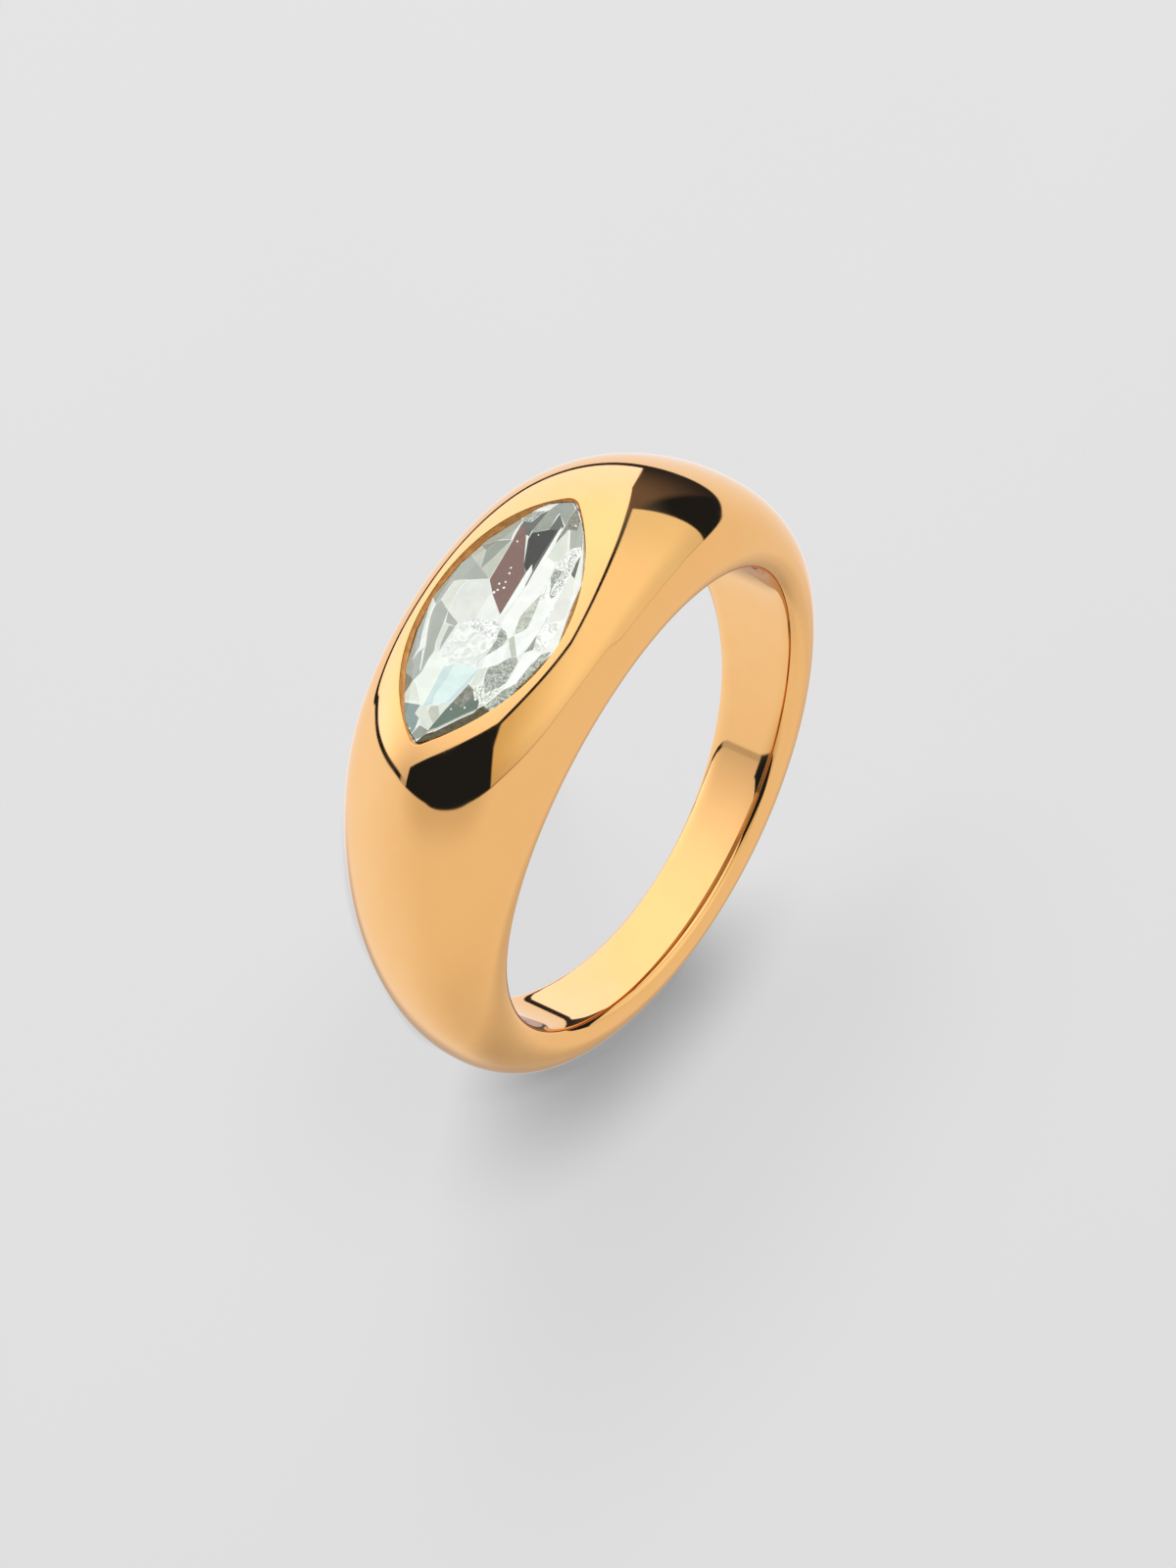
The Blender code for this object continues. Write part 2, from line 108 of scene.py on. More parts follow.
MOSAIC = tuple(Facet(*row) for row in (
    ("grey_green", ((-5.0, 0.0), (-4.62, 0.5), (-3.95, 0.52), (-4.25, 0.1), (-4.3, 0.0), (-4.8, -0.1))),
    ("dusk", ((-4.25, 0.1), (-3.9, 0.5), (-3.62, 0.38), (-3.6, 0.07))),
    ("grey_green", ((-4.85, -0.02), (-4.3, 0.05), (-3.62, 0.07), (-3.25, -0.43), (-3.42, -0.47),
        (-4.25, -0.33))),
    ("dusk", ((-4.25, -0.34), (-3.3, -0.47), (-3.1, -0.45), (-3.15, -0.9), (-3.5, -0.97), (-3.6, -0.68),
        (-4.0, -0.52))),
    ("ivory", ((-5.0, -0.1), (-4.3, -0.4), (-3.95, -0.95), (-3.6, -1.38), (-3.9, -1.5), (-4.6, -0.9))),
    ("sage", ((-4.15, -0.45), (-3.6, -0.7), (-3.5, -0.97), (-3.7, -1.1), (-3.9, -0.9)), 0.6),
    ("slate", ((-4.7, 0.52), (-4.3, 0.95), (-3.95, 1.02), (-3.9, 0.85), (-3.85, 0.7), (-3.5, 0.65),
        (-3.2, 0.57), (-4.0, 0.52)), 0.6),
    ("sage", ((-4.3, 0.97), (-3.9, 1.3), (-3.4, 1.6), (-3.25, 1.17), (-3.9, 0.78), (-3.95, 1.0))),
    ("ivory", ((-3.85, 0.72), (-3.2, 1.1), (-2.75, 1.15), (-2.6, 0.85), (-2.7, 0.55), (-3.3, 0.6))),
    ("white", ((-3.9, 0.42), (-3.3, 0.57), (-2.7, 0.6), (-1.9, 0.57), (-1.4, 0.54), (-1.9, 0.49),
        (-3.0, 0.45))),
    ("dusk", ((-3.85, 0.4), (-3.0, 0.44), (-1.9, 0.49), (-1.4, 0.53), (-1.5, 0.48), (-2.0, 0.43),
        (-2.4, 0.36), (-3.6, 0.35))),
    ("white", ((-2.25, 0.25), (-1.8, 0.4), (-1.4, 0.47), (-0.9, 0.5), (-0.1, 0.33), (-0.2, 0.28),
        (-1.0, 0.27), (-1.9, 0.26))),
    ("charcoal", ((-3.7, 0.36), (-2.4, 0.36), (-2.0, 0.42), (-2.25, 0.26), (-1.9, 0.23), (-2.1, 0.0),
        (-3.0, -0.42), (-3.25, -0.43), (-3.6, 0.07))),
    ("mauve", ((-1.88, 0.23), (-0.17, 0.29), (-0.7, -0.38), (-1.15, -0.82), (-2.75, -0.9), (-3.4, -0.97),
        (-3.15, -0.6), (-2.1, 0.0))),
    ("snow", ((-3.5, 1.5), (-3.1, 1.68), (-2.45, 1.76), (-1.4, 1.85), (-0.6, 1.95), (-0.6, 1.45),
        (-1.4, 1.2), (-2.6, 1.1), (-3.2, 1.15), (-3.45, 1.4)), 0.3),
    ("dusk", ((-3.2, 1.68), (-2.38, 1.97), (-2.45, 1.76), (-2.9, 1.68))),
    ("offwhite", ((-2.38, 1.97), (-1.8, 2.25), (-1.1, 2.48), (-0.85, 2.45), (-0.55, 2.1), (-0.7, 2.0),
        (-1.3, 1.87), (-2.43, 1.76))),
    ("ivory", ((-3.4, 1.45), (-3.0, 1.6), (-1.9, 1.72), (-1.4, 1.68), (-1.45, 1.52), (-2.4, 1.42),
        (-3.2, 1.35)), 1.0),
    ("sage", ((-2.45, 1.42), (-1.75, 1.42), (-1.45, 1.52), (-1.9, 1.28), (-2.1, 1.15), (-2.42, 1.12)), 1.0),
    ("pale_sage", ((-2.75, -0.92), (-1.25, -0.85), (-1.17, -0.86), (-1.38, -1.35), (-2.0, -1.15))),
    ("sage", ((-3.55, -1.0), (-3.0, -1.05), (-2.75, -0.98), (-2.6, -1.3), (-2.1, -1.85), (-2.3, -1.95),
        (-2.9, -1.75), (-3.6, -1.45))),
    ("grey_green", ((-2.75, -0.94), (-2.0, -1.15), (-1.38, -1.35), (-2.05, -1.6), (-2.1, -1.85),
        (-2.5, -1.4))),
    ("pale_sage", ((-2.0, -1.55), (-1.38, -1.35), (-1.5, -1.65), (-1.65, -2.02), (-2.0, -2.0),
        (-2.15, -1.85))),
    ("sage", ((-1.17, -0.86), (-0.85, -1.5), (-0.6, -1.98), (-1.68, -2.02), (-1.38, -1.35))),
    ("sage", ((-1.68, -2.02), (-0.6, -1.98), (0.2, -2.0), (0.4, -2.1), (0.15, -2.4), (-0.2, -2.5),
        (-0.5, -2.45), (-1.3, -2.3))),
    ("blush", ((-3.0, -1.75), (-2.3, -1.93), (-1.68, -2.04), (-1.1, -2.2), (-0.5, -2.4), (-0.4, -2.7),
        (-3.0, -2.2))),
    ("offwhite", ((-0.05, 0.32), (0.15, 0.0), (0.35, -0.5), (0.68, -0.83), (0.7, -0.95), (0.4, -1.5),
        (0.0, -1.55), (-0.4, -1.6), (-0.8, -1.5), (-1.15, -0.87), (-0.7, -0.38))),
    ("snow", ((-0.05, 0.32), (0.15, 0.0), (0.33, -0.45), (-0.6, -0.5), (-0.75, -0.45), (-0.7, -0.38))),
    ("ivory", ((-0.85, -1.55), (-0.4, -1.65), (0.0, -1.6), (0.4, -1.55), (0.2, -1.98), (-0.25, -1.95),
        (-0.6, -1.98))),
    ("sage", ((0.7, -0.93), (0.85, -0.95), (0.85, -1.35), (0.45, -1.5))),
    ("sage", ((0.85, -0.95), (1.85, -0.95), (1.55, -1.06), (0.9, -1.17))),
    ("ivory", ((0.85, -1.17), (1.55, -1.07), (1.9, -0.98), (1.6, -1.25), (0.88, -1.4))),
    ("sage", ((0.45, -1.52), (0.9, -1.41), (1.6, -1.26), (1.9, -1.12), (2.7, -1.08), (1.95, -1.45),
        (1.4, -1.75), (0.9, -1.97), (0.35, -2.08), (0.2, -1.98))),
    ("ivory", ((0.1, -2.45), (0.5, -2.2), (0.9, -2.02), (1.45, -1.88), (1.35, -1.98), (0.9, -2.12),
        (0.35, -2.4))),
    ("sage", ((0.3, -2.6), (0.35, -2.4), (0.9, -2.12), (1.4, -1.95), (2.0, -1.7), (3.0, -1.6), (3.1, -1.9),
        (1.9, -2.4), (0.8, -2.6))),
    ("snow", ((0.0, 0.3), (0.25, 0.6), (0.75, 0.68), (1.85, 0.68), (1.95, 0.0), (2.25, -0.4), (2.1, -1.05),
        (1.85, -0.9), (0.7, -0.83), (0.35, -0.5), (0.15, 0.0)), 0.15),
    ("snow", ((0.1, 0.3), (0.25, 0.6), (0.75, 0.62), (0.7, 0.2), (0.62, -0.5), (0.68, -0.8), (0.35, -0.5),
        (0.15, 0.0)), 0.5),
    ("mint", ((2.2, -0.44), (3.8, -0.33), (3.9, -0.4), (3.72, -0.52), (3.3, -0.98), (3.2, -1.12),
        (2.1, -1.12), (1.85, -0.92))),
    ("ivory", ((3.25, -1.0), (3.74, -0.5), (4.0, -1.05), (3.8, -1.2), (3.2, -1.15))),
    ("sage", ((1.95, -1.15), (2.8, -1.08), (3.2, -1.17), (3.1, -1.7), (2.2, -1.6), (1.95, -1.47))),
    ("slate", ((3.15, -1.17), (3.9, -1.15), (3.8, -1.4), (3.05, -1.75), (3.05, -1.5))),
    ("mint", ((1.95, -1.47), (2.6, -1.2), (2.85, -1.08), (2.7, -1.2), (2.1, -1.5))),
    ("aqua", ((1.9, 0.7), (2.5, 0.57), (3.4, 0.37), (3.7, 0.0), (3.3, -0.15), (2.5, -0.1), (2.1, -0.15),
        (1.95, 0.0))),
    ("aqua_shade", ((2.08, -0.15), (2.6, -0.1), (3.3, -0.15), (3.65, -0.03), (3.88, -0.27), (3.6, -0.3),
        (2.3, -0.45))),
    ("aqua_shade", ((1.85, 0.8), (2.5, 0.72), (3.35, 0.56), (3.42, 0.38), (2.5, 0.6), (1.95, 0.7))),
    ("ivory", ((3.35, 0.6), (3.95, 0.47), (3.6, 0.2), (3.45, 0.32))),
    ("pale_sage", ((3.6, 0.22), (3.95, 0.47), (4.3, 0.42), (3.95, 0.0), (3.75, -0.03))),
    ("ivory", ((4.25, 0.42), (4.6, 0.36), (4.5, 0.05), (4.3, -0.12), (4.22, -0.38), (3.9, -0.38),
        (3.8, -0.15), (4.05, 0.1))),
    ("slate_blue", ((4.3, -0.15), (4.7, -0.07), (4.95, -0.1), (4.7, -0.5), (4.35, -0.75), (4.05, -1.05),
        (3.95, -0.8), (3.85, -0.4), (4.2, -0.4))),
    ("grey_green", ((4.55, 0.42), (4.8, 0.4), (5.1, 0.1), (4.9, -0.07), (4.5, 0.02))),
    ("bottle", ((3.0, 1.5), (3.2, 1.57), (4.4, 0.62), (4.58, 0.42), (4.3, 0.43), (3.3, 0.6), (2.5, 0.75),
        (2.65, 1.2), (2.9, 1.45))),
    ("slate", ((2.5, 0.75), (3.3, 0.6), (3.35, 1.0), (2.9, 1.15), (2.6, 1.05)), 0.6),
    ("pale_sage", ((3.1, 1.6), (3.35, 1.5), (4.45, 0.63), (4.65, 0.42), (4.56, 0.42), (4.35, 0.63),
        (3.25, 1.48))),
    ("olive", ((3.1, 1.6), (3.35, 1.52), (4.48, 0.65), (4.68, 0.42), (5.2, 0.2), (5.0, 0.9), (4.0, 1.9),
        (3.0, 2.3), (2.9, 1.75)), 1.0),
    ("sage", ((1.1, 1.88), (1.9, 1.95), (2.3, 1.8), (2.6, 1.5), (2.3, 1.25), (2.0, 1.1), (1.7, 1.03),
        (1.5, 1.25), (1.1, 1.5), (0.93, 1.75)), 1.0),
    ("ivory", ((1.7, 0.98), (2.2, 1.1), (2.4, 1.05), (2.5, 0.85), (2.3, 0.8), (1.85, 0.8))),
    ("ivory", ((2.3, 1.3), (2.75, 1.45), (2.95, 1.3), (2.65, 1.05), (2.45, 1.0)), 0.6),
    ("ivory", ((2.0, 1.95), (2.6, 1.8), (3.15, 1.57), (2.8, 1.42), (2.5, 1.52)), 0.6),
    ("white", ((0.5, 2.45), (0.8, 2.35), (1.8, 2.28), (2.2, 2.0), (1.5, 1.98), (1.0, 1.93), (0.75, 1.86),
        (0.5, 2.13))),
    ("sage", ((0.3, 2.75), (0.5, 2.5), (1.0, 2.38), (1.8, 2.3), (2.2, 2.02), (3.0, 1.72), (3.1, 2.2),
        (2.0, 2.8)), 1.0),
    ("grey_green", ((0.48, 2.13), (0.72, 1.87), (0.5, 1.92), (-0.07, 1.92), (0.2, 2.02))),
    ("white", ((-2.0, 1.78), (-1.3, 1.85), (-0.1, 1.92), (0.7, 1.86), (0.92, 1.72), (0.3, 1.2), (0.0, 1.42),
        (-0.2, 1.5), (-0.7, 1.4), (-1.2, 1.27), (-1.45, 1.52), (-1.4, 1.68))),
    ("snow", ((-0.85, 2.45), (-0.5, 2.5), (0.4, 2.5), (0.5, 2.13), (0.2, 2.03), (-0.1, 1.94),
        (-0.55, 1.97)), 0.3),
    ("pale_sage", ((-1.4, 1.2), (-0.9, 1.33), (-0.4, 1.42), (-0.1, 1.45), (0.1, 1.33), (0.25, 1.2),
        (0.0, 1.1), (-0.4, 1.0), (-0.7, 1.04), (-1.1, 1.13)), 0.3),
    ("white", ((-1.4, 1.18), (-1.0, 1.1), (-0.4, 0.98), (0.1, 1.1), (0.45, 1.1), (0.3, 0.85), (0.2, 0.6),
        (0.0, 0.5), (-0.9, 0.52), (-1.4, 0.55), (-2.3, 0.6), (-2.7, 0.62), (-2.6, 1.0), (-2.1, 1.12))),
    ("pale_sage", ((0.3, 1.2), (0.9, 1.7), (1.05, 1.58), (0.75, 1.3), (0.6, 1.2), (0.5, 1.1))),
    ("white", ((0.6, 1.2), (1.3, 1.35), (1.6, 1.1), (1.85, 0.82), (1.3, 0.72), (1.1, 0.9), (0.8, 1.05))),
    ("sage", ((0.3, 0.85), (0.5, 1.05), (0.8, 1.02), (1.1, 0.85), (1.35, 0.7), (0.7, 0.7), (0.4, 0.62),
        (0.25, 0.62)), 1.0),
))
BARE_FOIL = ("snow", 0.0)
# Painted glints: small bright spots over it, placed in the same way
Glint = namedtuple("Glint", "x y radius")
PAINTED_GLINTS = tuple(Glint(*row) for row in (
    (-1.63, -0.3, 0.045), (-1.3, -0.24, 0.04), (-1.09, -0.17, 0.05), (-1.15, -0.41, 0.045),
    (-0.93, -0.33, 0.045), (-0.8, -0.4, 0.055), (-1.83, -0.37, 0.04), (-2.77, -0.73, 0.04),
    (3.3, 1.12, 0.035), (3.55, 0.7, 0.03), (-4.1, 0.87, 0.04), (4.75, -0.25, 0.035), (-3.28, -0.17, 0.03),
))
GLINT_TONE = "white"
GLINT_CORNERS = 6
SEEN_LEVEL = 0.5 * MM
CRYSTAL_IOR = 1.54
MOSAIC_DEPTH = 0.05 * MM
MOSAIC_INSET = 0.01 * MM
MOSAIC_TILT = math.radians(2.5)
GOLDEN_ANGLE = math.radians(137.5)
# What the crown's own reflection adds to every tone
CROWN_GLEAM = 0.055

# Eased edge between the dome and the seat's wall
RIM_EASE = 0.05 * MM

# Fineness of the curves
STEPS_AROUND = 360
STEPS_CROWN = 32
STEPS_EDGE = 10
STEPS_BORE = 8
STEPS_RIM = 5
STEPS_WALL = 3
STEPS_STONE_SIDE = 40
STEPS_STONE_TIP = 8
HEAD_PATCH_STEPS = 34
HEAD_PATCH_CROWN = 28
# Rings of points round the rim, and how far the grid's own points keep from the last one
RIM_BANDS = (0.10 * MM, 0.22 * MM, 0.38 * MM)
RIM_KEEP_OUT = 0.08 * MM
# How the head's patch is stretched over its section, for evenly shaped triangles
PATCH_STRETCH = 5.0
# Points nearer than these are one: in metres, and in the flat patches of the head and the foil
MERGE = 1e-7
HEAD_MERGE = 1e-6
FOIL_MERGE = 1e-5
SOLVER_TRIES = 30
SOLVER_STEP = 1e-5
SOLVER_MISS = 1e-10
# Places round the girdle where facets meet it, and those of the pavilion's main facets
GIRDLE_PLACES = 16
MAIN_PLACES = (2, 4, 6, 10, 12, 14)
# How much taller a blank is than what is cut from it
BLANK_SHARE = 1.5
# A facet belongs to the girdle while its normal's z is nearer to zero than this
GIRDLE_LEAN = 0.05
SHARP_ANGLE = math.radians(3.0)
# Materials by their place on a piece: the casting's second, the stone's second and third
SEAT_SLOT = 1
BACKING_SLOT = 1
GIRDLE_SLOT = 2


# The casting's surface
def level_ended_spline(places, values):
    """A smooth curve through the values that is level at its first and last place."""
    steps = np.diff(places)
    slopes = np.diff(values) / steps
    count = len(places)
    matrix = np.zeros((count, count))
    right = np.zeros(count)
    matrix[0, :2] = 2.0 * steps[0], steps[0]
    right[0] = 6.0 * slopes[0]
    matrix[-1, -2:] = steps[-1], 2.0 * steps[-1]
    right[-1] = -6.0 * slopes[-1]
    for i in range(1, count - 1):
        matrix[i, i - 1:i + 2] = steps[i - 1], 2.0 * (steps[i - 1] + steps[i]), steps[i]
        right[i] = 6.0 * (slopes[i] - slopes[i - 1])
    bends = np.linalg.solve(matrix, right)

    def value_at(place):
        i = np.clip(np.searchsorted(places, place) - 1, 0, count - 2)
        ahead = places[i + 1] - place
        behind = place - places[i]
        step = steps[i]
        curve = (bends[i] * ahead ** 3 + bends[i + 1] * behind ** 3) / (6.0 * step)
        left = (values[i] / step - bends[i] * step / 6.0) * ahead
        return curve + left + (values[i + 1] / step - bends[i + 1] * step / 6.0) * behind

    return value_at


swell_angles, *swell_columns = np.array(SWELL).T
swell_curves = [level_ended_spline(swell_angles, column) for column in swell_columns]


def casting_point(angle, place):
    """Points of the casting's surface, in the ring's own frame.

    angle is round the bore from the head, in radians. place runs over the section, with
    the visible side positive: 0 to 1 is the crown, 1 to 2 the edge and 2 to 3 the bore.
    """
    turn = np.abs(np.degrees(angle)) % 360.0
    turn = np.minimum(turn, 360.0 - turn)
    rise_share, width_share, crown_fullness, side_fullness = (curve(turn) for curve in swell_curves)
    rise = SHANK_RISE + rise_share * (HEAD_RISE - SHANK_RISE)
    half_width = (SHANK_WIDTH + width_share * (HEAD_WIDTH - SHANK_WIDTH)) / 2.0
    edge_rise = np.minimum(EDGE_RISE, EDGE_LIMIT * rise)
    setback = np.minimum(EDGE_SETBACK, EDGE_LIMIT * half_width)
    side_handle = edge_rise + side_fullness * (rise - edge_rise)
    side = np.sign(place)
    place = np.abs(place)
    t = np.clip(place, 0.0, 1.0)
    near, far = 3.0 * t * (1.0 - t) ** 2, 3.0 * t ** 2 * (1.0 - t)
    height = rise * ((1.0 - t) ** 3 + near) + side_handle * far + edge_rise * t ** 3
    offset = half_width * (crown_fullness * near + far + t ** 3)
    t = 1.0 - np.clip(place - 1.0, 0.0, 1.0)
    near, far = 3.0 * t * (1.0 - t) ** 2, 3.0 * t ** 2 * (1.0 - t)
    edge_height = edge_rise * (EDGE_LIFT * far + t ** 3)
    edge_offset = half_width - setback * ((1.0 - t) ** 3 + (1.0 - EDGE_FLARE) * near)
    height = np.where(place > 1.0, edge_height, height)
    offset = np.where(place > 1.0, edge_offset, offset)
    bore = np.clip(place - 2.0, 0.0, 1.0)
    offset = offset * (1.0 - bore)
    radius = BORE_RADIUS + height
    return np.stack([radius * np.sin(angle), -radius * np.cos(angle), side * offset], axis=-1)


def casting_normal(angle, place, step=1e-4):
    """The surface's outward direction, from small steps that stay on one part of the section."""
    part = np.minimum(np.floor(np.abs(place)), 2.0)
    side = np.where(place < 0.0, -1.0, 1.0)
    low = np.where(np.abs(place) < step, -step, np.maximum(np.abs(place) - step, part))
    high = np.minimum(np.abs(place) + step, part + 1.0)
    across = casting_point(angle, side * high) - casting_point(angle, side * low)
    around = casting_point(angle + step, place) - casting_point(angle - step, place)
    normal = np.cross(around, across) * side[..., None]
    return normal / np.linalg.norm(normal, axis=-1, keepdims=True)


def dome_place(across, along):
    """The dome's angle and section place over a point beside the head's middle."""
    angle = math.atan2(across, BORE_RADIUS + HEAD_RISE)
    place = 0.5 * along / (HEAD_WIDTH / 2.0)
    for _ in range(SOLVER_TRIES):
        here = casting_point(np.array(angle), np.array(place))
        miss = np.array([across - here[0], along - here[2]])
        if np.abs(miss).max() < SOLVER_MISS:
            break
        step = SOLVER_STEP
        by_angle = (casting_point(np.array(angle + step), np.array(place)) - here)[[0, 2]] / step
        by_place = (casting_point(np.array(angle), np.array(place + step)) - here)[[0, 2]] / step
        change = np.linalg.solve(np.column_stack([by_angle, by_place]), miss)
        angle, place = angle + change[0], place + change[1]
    return angle, place


# The stone's outline and facets
def marquise_arcs(grow):
    half_length, half_width = STONE_LENGTH / 2.0, STONE_WIDTH / 2.0
    tip = STONE_TIP_RADIUS
    side = (half_length ** 2 - 2.0 * half_length * tip + half_width ** 2) / (2.0 * (half_width - tip))
    tip_centre = Vector((half_length - tip, 0.0))
    side_centre = Vector((0.0, half_width - side))
    meet = math.atan2(tip_centre.y - side_centre.y, tip_centre.x - side_centre.x)
    return (tip_centre, tip + grow, 0.0, meet), (side_centre, side + grow, meet, math.pi / 2.0)


def arc_point(arc, share):
    centre, radius, start, end = arc
    angle = start + share * (end - start)
    normal = Vector((math.cos(angle), math.sin(angle)))
    return centre + radius * normal, normal


def marquise_outline(grow):
    """Closed outline of the stone, grown outwards, from the +X tip anticlockwise."""
    tip_arc, side_arc = marquise_arcs(grow)
    quarter = [arc_point(tip_arc, i / STEPS_STONE_TIP)[0] for i in range(STEPS_STONE_TIP)]
    quarter += [arc_point(side_arc, i / STEPS_STONE_SIDE)[0] for i in range(STEPS_STONE_SIDE + 1)]
    upper = quarter + [Vector((-p.x, p.y)) for p in reversed(quarter[:-1])]
    return upper + [Vector((p.x, -p.y)) for p in reversed(upper[1:-1])]


def girdle_stations():
    """The places round the girdle where facets meet it, as (point, normal) pairs.

    Place 0 is the +X tip, 4 the middle of the +Y side, 8 the -X tip, 12 the -Y side.
    """
    tip_arc, side_arc = marquise_arcs(0.0)
    steps = GIRDLE_PLACES // 4
    quarter = [arc_point(tip_arc, 0.0)] + [arc_point(side_arc, i / steps) for i in range(1, steps + 1)]
    upper = quarter + [(Vector((-p.x, p.y)), Vector((-n.x, n.y))) for p, n in reversed(quarter[:-1])]
    lower = [(Vector((p.x, -p.y)), Vector((n.x, -n.y))) for p, n in reversed(upper[1:-1])]
    return upper + lower


def plane_through(a, b, c, inside):
    """Plane through three points, as (point, normal), with the normal away from inside."""
    normal = (b - a).cross(c - a).normalized()
    if normal.dot(inside - a) > 0.0:
        normal = -normal
    return a, normal


def meeting_point(first, second, level):
    """Point where two facets' shared edge passes a level plane."""
    start, direction = intersect_plane_plane(first[0], first[1], second[0], second[1])
    return start + direction * ((level - start.z) / direction.z)


def station_plane(station, level, inner, inside):
    """Plane along the outline's tangent at a station, through an inner point."""
    point, normal = station
    corner = point.to_3d()
    corner.z = level
    along = Vector((-normal.y, normal.x, 0.0)) * STONE_WIDTH
    return plane_through(corner, corner + along, inner, inside)


def crown_facets(stations, girdle_top):
    """Table, bezel, star and upper girdle facets."""
    table_level = girdle_top + STONE_CROWN
    inside = Vector((0.0, 0.0, 0.0))
    corners = [Vector((p.x, p.y, girdle_top)) for p, _ in stations]
    table = {}
    bezels = {}
    for j in range(0, GIRDLE_PLACES, 2):
        p = stations[j][0]
        table[j] = Vector((TABLE_LENGTH_SHARE * p.x, TABLE_WIDTH_SHARE * p.y, table_level))
        bezels[j] = station_plane(stations[j], girdle_top, table[j], inside)
    facets = [(Vector((0.0, 0.0, table_level)), Vector((0.0, 0.0, 1.0)))] + list(bezels.values())
    star_level = girdle_top + STAR_HEIGHT_SHARE * STONE_CROWN
    for j in range(1, GIRDLE_PLACES, 2):
        before, after = j - 1, (j + 1) % GIRDLE_PLACES
        star = meeting_point(bezels[before], bezels[after], star_level)
        facets.append(plane_through(table[before], table[after], star, inside))
        facets.append(plane_through(corners[before], corners[j], star, inside))
        facets.append(plane_through(corners[j], corners[after], star, inside))
    return facets


def pavilion_facets(stations, girdle_base, depth):
    """Main and lower girdle facets, which meet in a keel from tip to tip."""
    inside = Vector((0.0, 0.0, 0.0))
    point = Vector((0.0, 0.0, girdle_base - depth))
    corners = [Vector((p.x, p.y, girdle_base)) for p, _ in stations]
    mains = {j: station_plane(stations[j], girdle_base, point, inside) for j in MAIN_PLACES}
    facets = list(mains.values())
    middle = (point, Vector((0.0, 1.0, 0.0)))
    for j in range(1, GIRDLE_PLACES, 2):
        before, after = j - 1, (j + 1) % GIRDLE_PLACES
        if before in mains and after in mains:
            pair = mains[before], mains[after]
            level = girdle_base - LOWER_HALF_DEPTH_SHARE * depth
        else:
            pair = mains[before if before in mains else after], middle
            level = girdle_base - KEEL_BREAK_DEPTH_SHARE * depth
        meet = meeting_point(*pair, level)
        facets.append(plane_through(corners[before], corners[j], meet, inside))
        facets.append(plane_through(corners[j], corners[after], meet, inside))
    return facets


def blank_mesh(outline, low, high):
    """A slab with the given outline between two levels, as a closed mesh."""
    blank = bmesh.new()
    lower = [blank.verts.new((p.x, p.y, low)) for p in outline]
    upper = [blank.verts.new((p.x, p.y, high)) for p in outline]
    blank.faces.new(list(reversed(lower)))
    blank.faces.new(upper)
    for i in range(len(outline)):
        k = (i + 1) % len(outline)
        blank.faces.new((lower[i], lower[k], upper[k], upper[i]))
    return blank


def grind(blank, facets, grow=0.0):
    """Cut each facet's plane through the blank, moved out by grow, and close each cut."""
    for point, normal in facets:
        parts = blank.verts[:] + blank.edges[:] + blank.faces[:]
        cut = bmesh.ops.bisect_plane(blank, geom=parts, dist=MERGE, clear_outer=True,
                                     plane_co=point + grow * normal, plane_no=normal)
        rim = [part for part in cut["geom_cut"] if isinstance(part, bmesh.types.BMEdge)]
        open_rim = [edge for edge in rim if edge.is_boundary]
        if open_rim:
            bmesh.ops.holes_fill(blank, edges=open_rim, sides=0)
    bmesh.ops.remove_doubles(blank, verts=blank.verts, dist=2.0 * MERGE)
    bmesh.ops.dissolve_degenerate(blank, dist=MERGE, edges=blank.edges)
    bmesh.ops.recalc_face_normals(blank, faces=blank.faces)


# Heights in the head, above the bore's axis
def head_height(across, along):
    angle, place = dome_place(across, along)
    return -casting_point(np.array(angle), np.array(place))[1]


GIRDLE_TOP = STONE_GIRDLE / 2.0
rim_low = min(head_height(STONE_LENGTH / 2.0 + SEAT_CLEARANCE, 0.0),
              head_height(0.0, STONE_WIDTH / 2.0 + SEAT_CLEARANCE))
GIRDLE_LEVEL = rim_low - GIRDLE_DROP - GIRDLE_TOP
PAVILION_DEPTH = GIRDLE_LEVEL - GIRDLE_TOP - SEAT_CLEARANCE - SEAT_FLOOR - BORE_RADIUS

# The ring's place in the row frame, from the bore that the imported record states
bore = next(mount for mount in frame["record"]["mounts"] if mount["name"] == "finger_hole")
rest_tilt = math.atan2(-bore["axis"][1], bore["axis"][2])
ring_place = Matrix.Translation(bore["pos_m"]) @ Matrix.Rotation(rest_tilt, 4, "X")
stone_offset = Matrix.Translation((0.0, -GIRDLE_LEVEL, 0.0))
stone_place = ring_place @ stone_offset @ Matrix.Rotation(math.pi / 2.0, 4, "X")


def in_ring_frame(point):
    """A point of the stone's frame in the ring's own frame."""
    return np.array([point[0], -point[2] - GIRDLE_LEVEL, point[1]])


def add_piece(name, mesh, node, slot, *materials):
    """Put a piece on the root body in a node's place. The floor catches no bounce or shadow of it."""
    piece = bpy.data.objects.new(name, mesh)
    bpy.context.scene.collection.objects.link(piece)
    for material in materials:
        mesh.materials.append(material)
    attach(piece, "root")
    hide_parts(node)
    piece.visible_diffuse = False
    piece.visible_shadow = False


def section_places():
    """Places round the closed section, from the far side's bore over the crown and back."""
    crown = [i / STEPS_CROWN for i in range(-STEPS_CROWN, STEPS_CROWN + 1)]
    edge = [1.0 + i / STEPS_EDGE for i in range(1, STEPS_EDGE + 1)]
    inner = [2.0 + i / STEPS_BORE for i in range(1, STEPS_BORE)]
    return [-p for p in reversed(edge)] + crown + edge + inner + [3.0] + [-p for p in reversed(inner)]


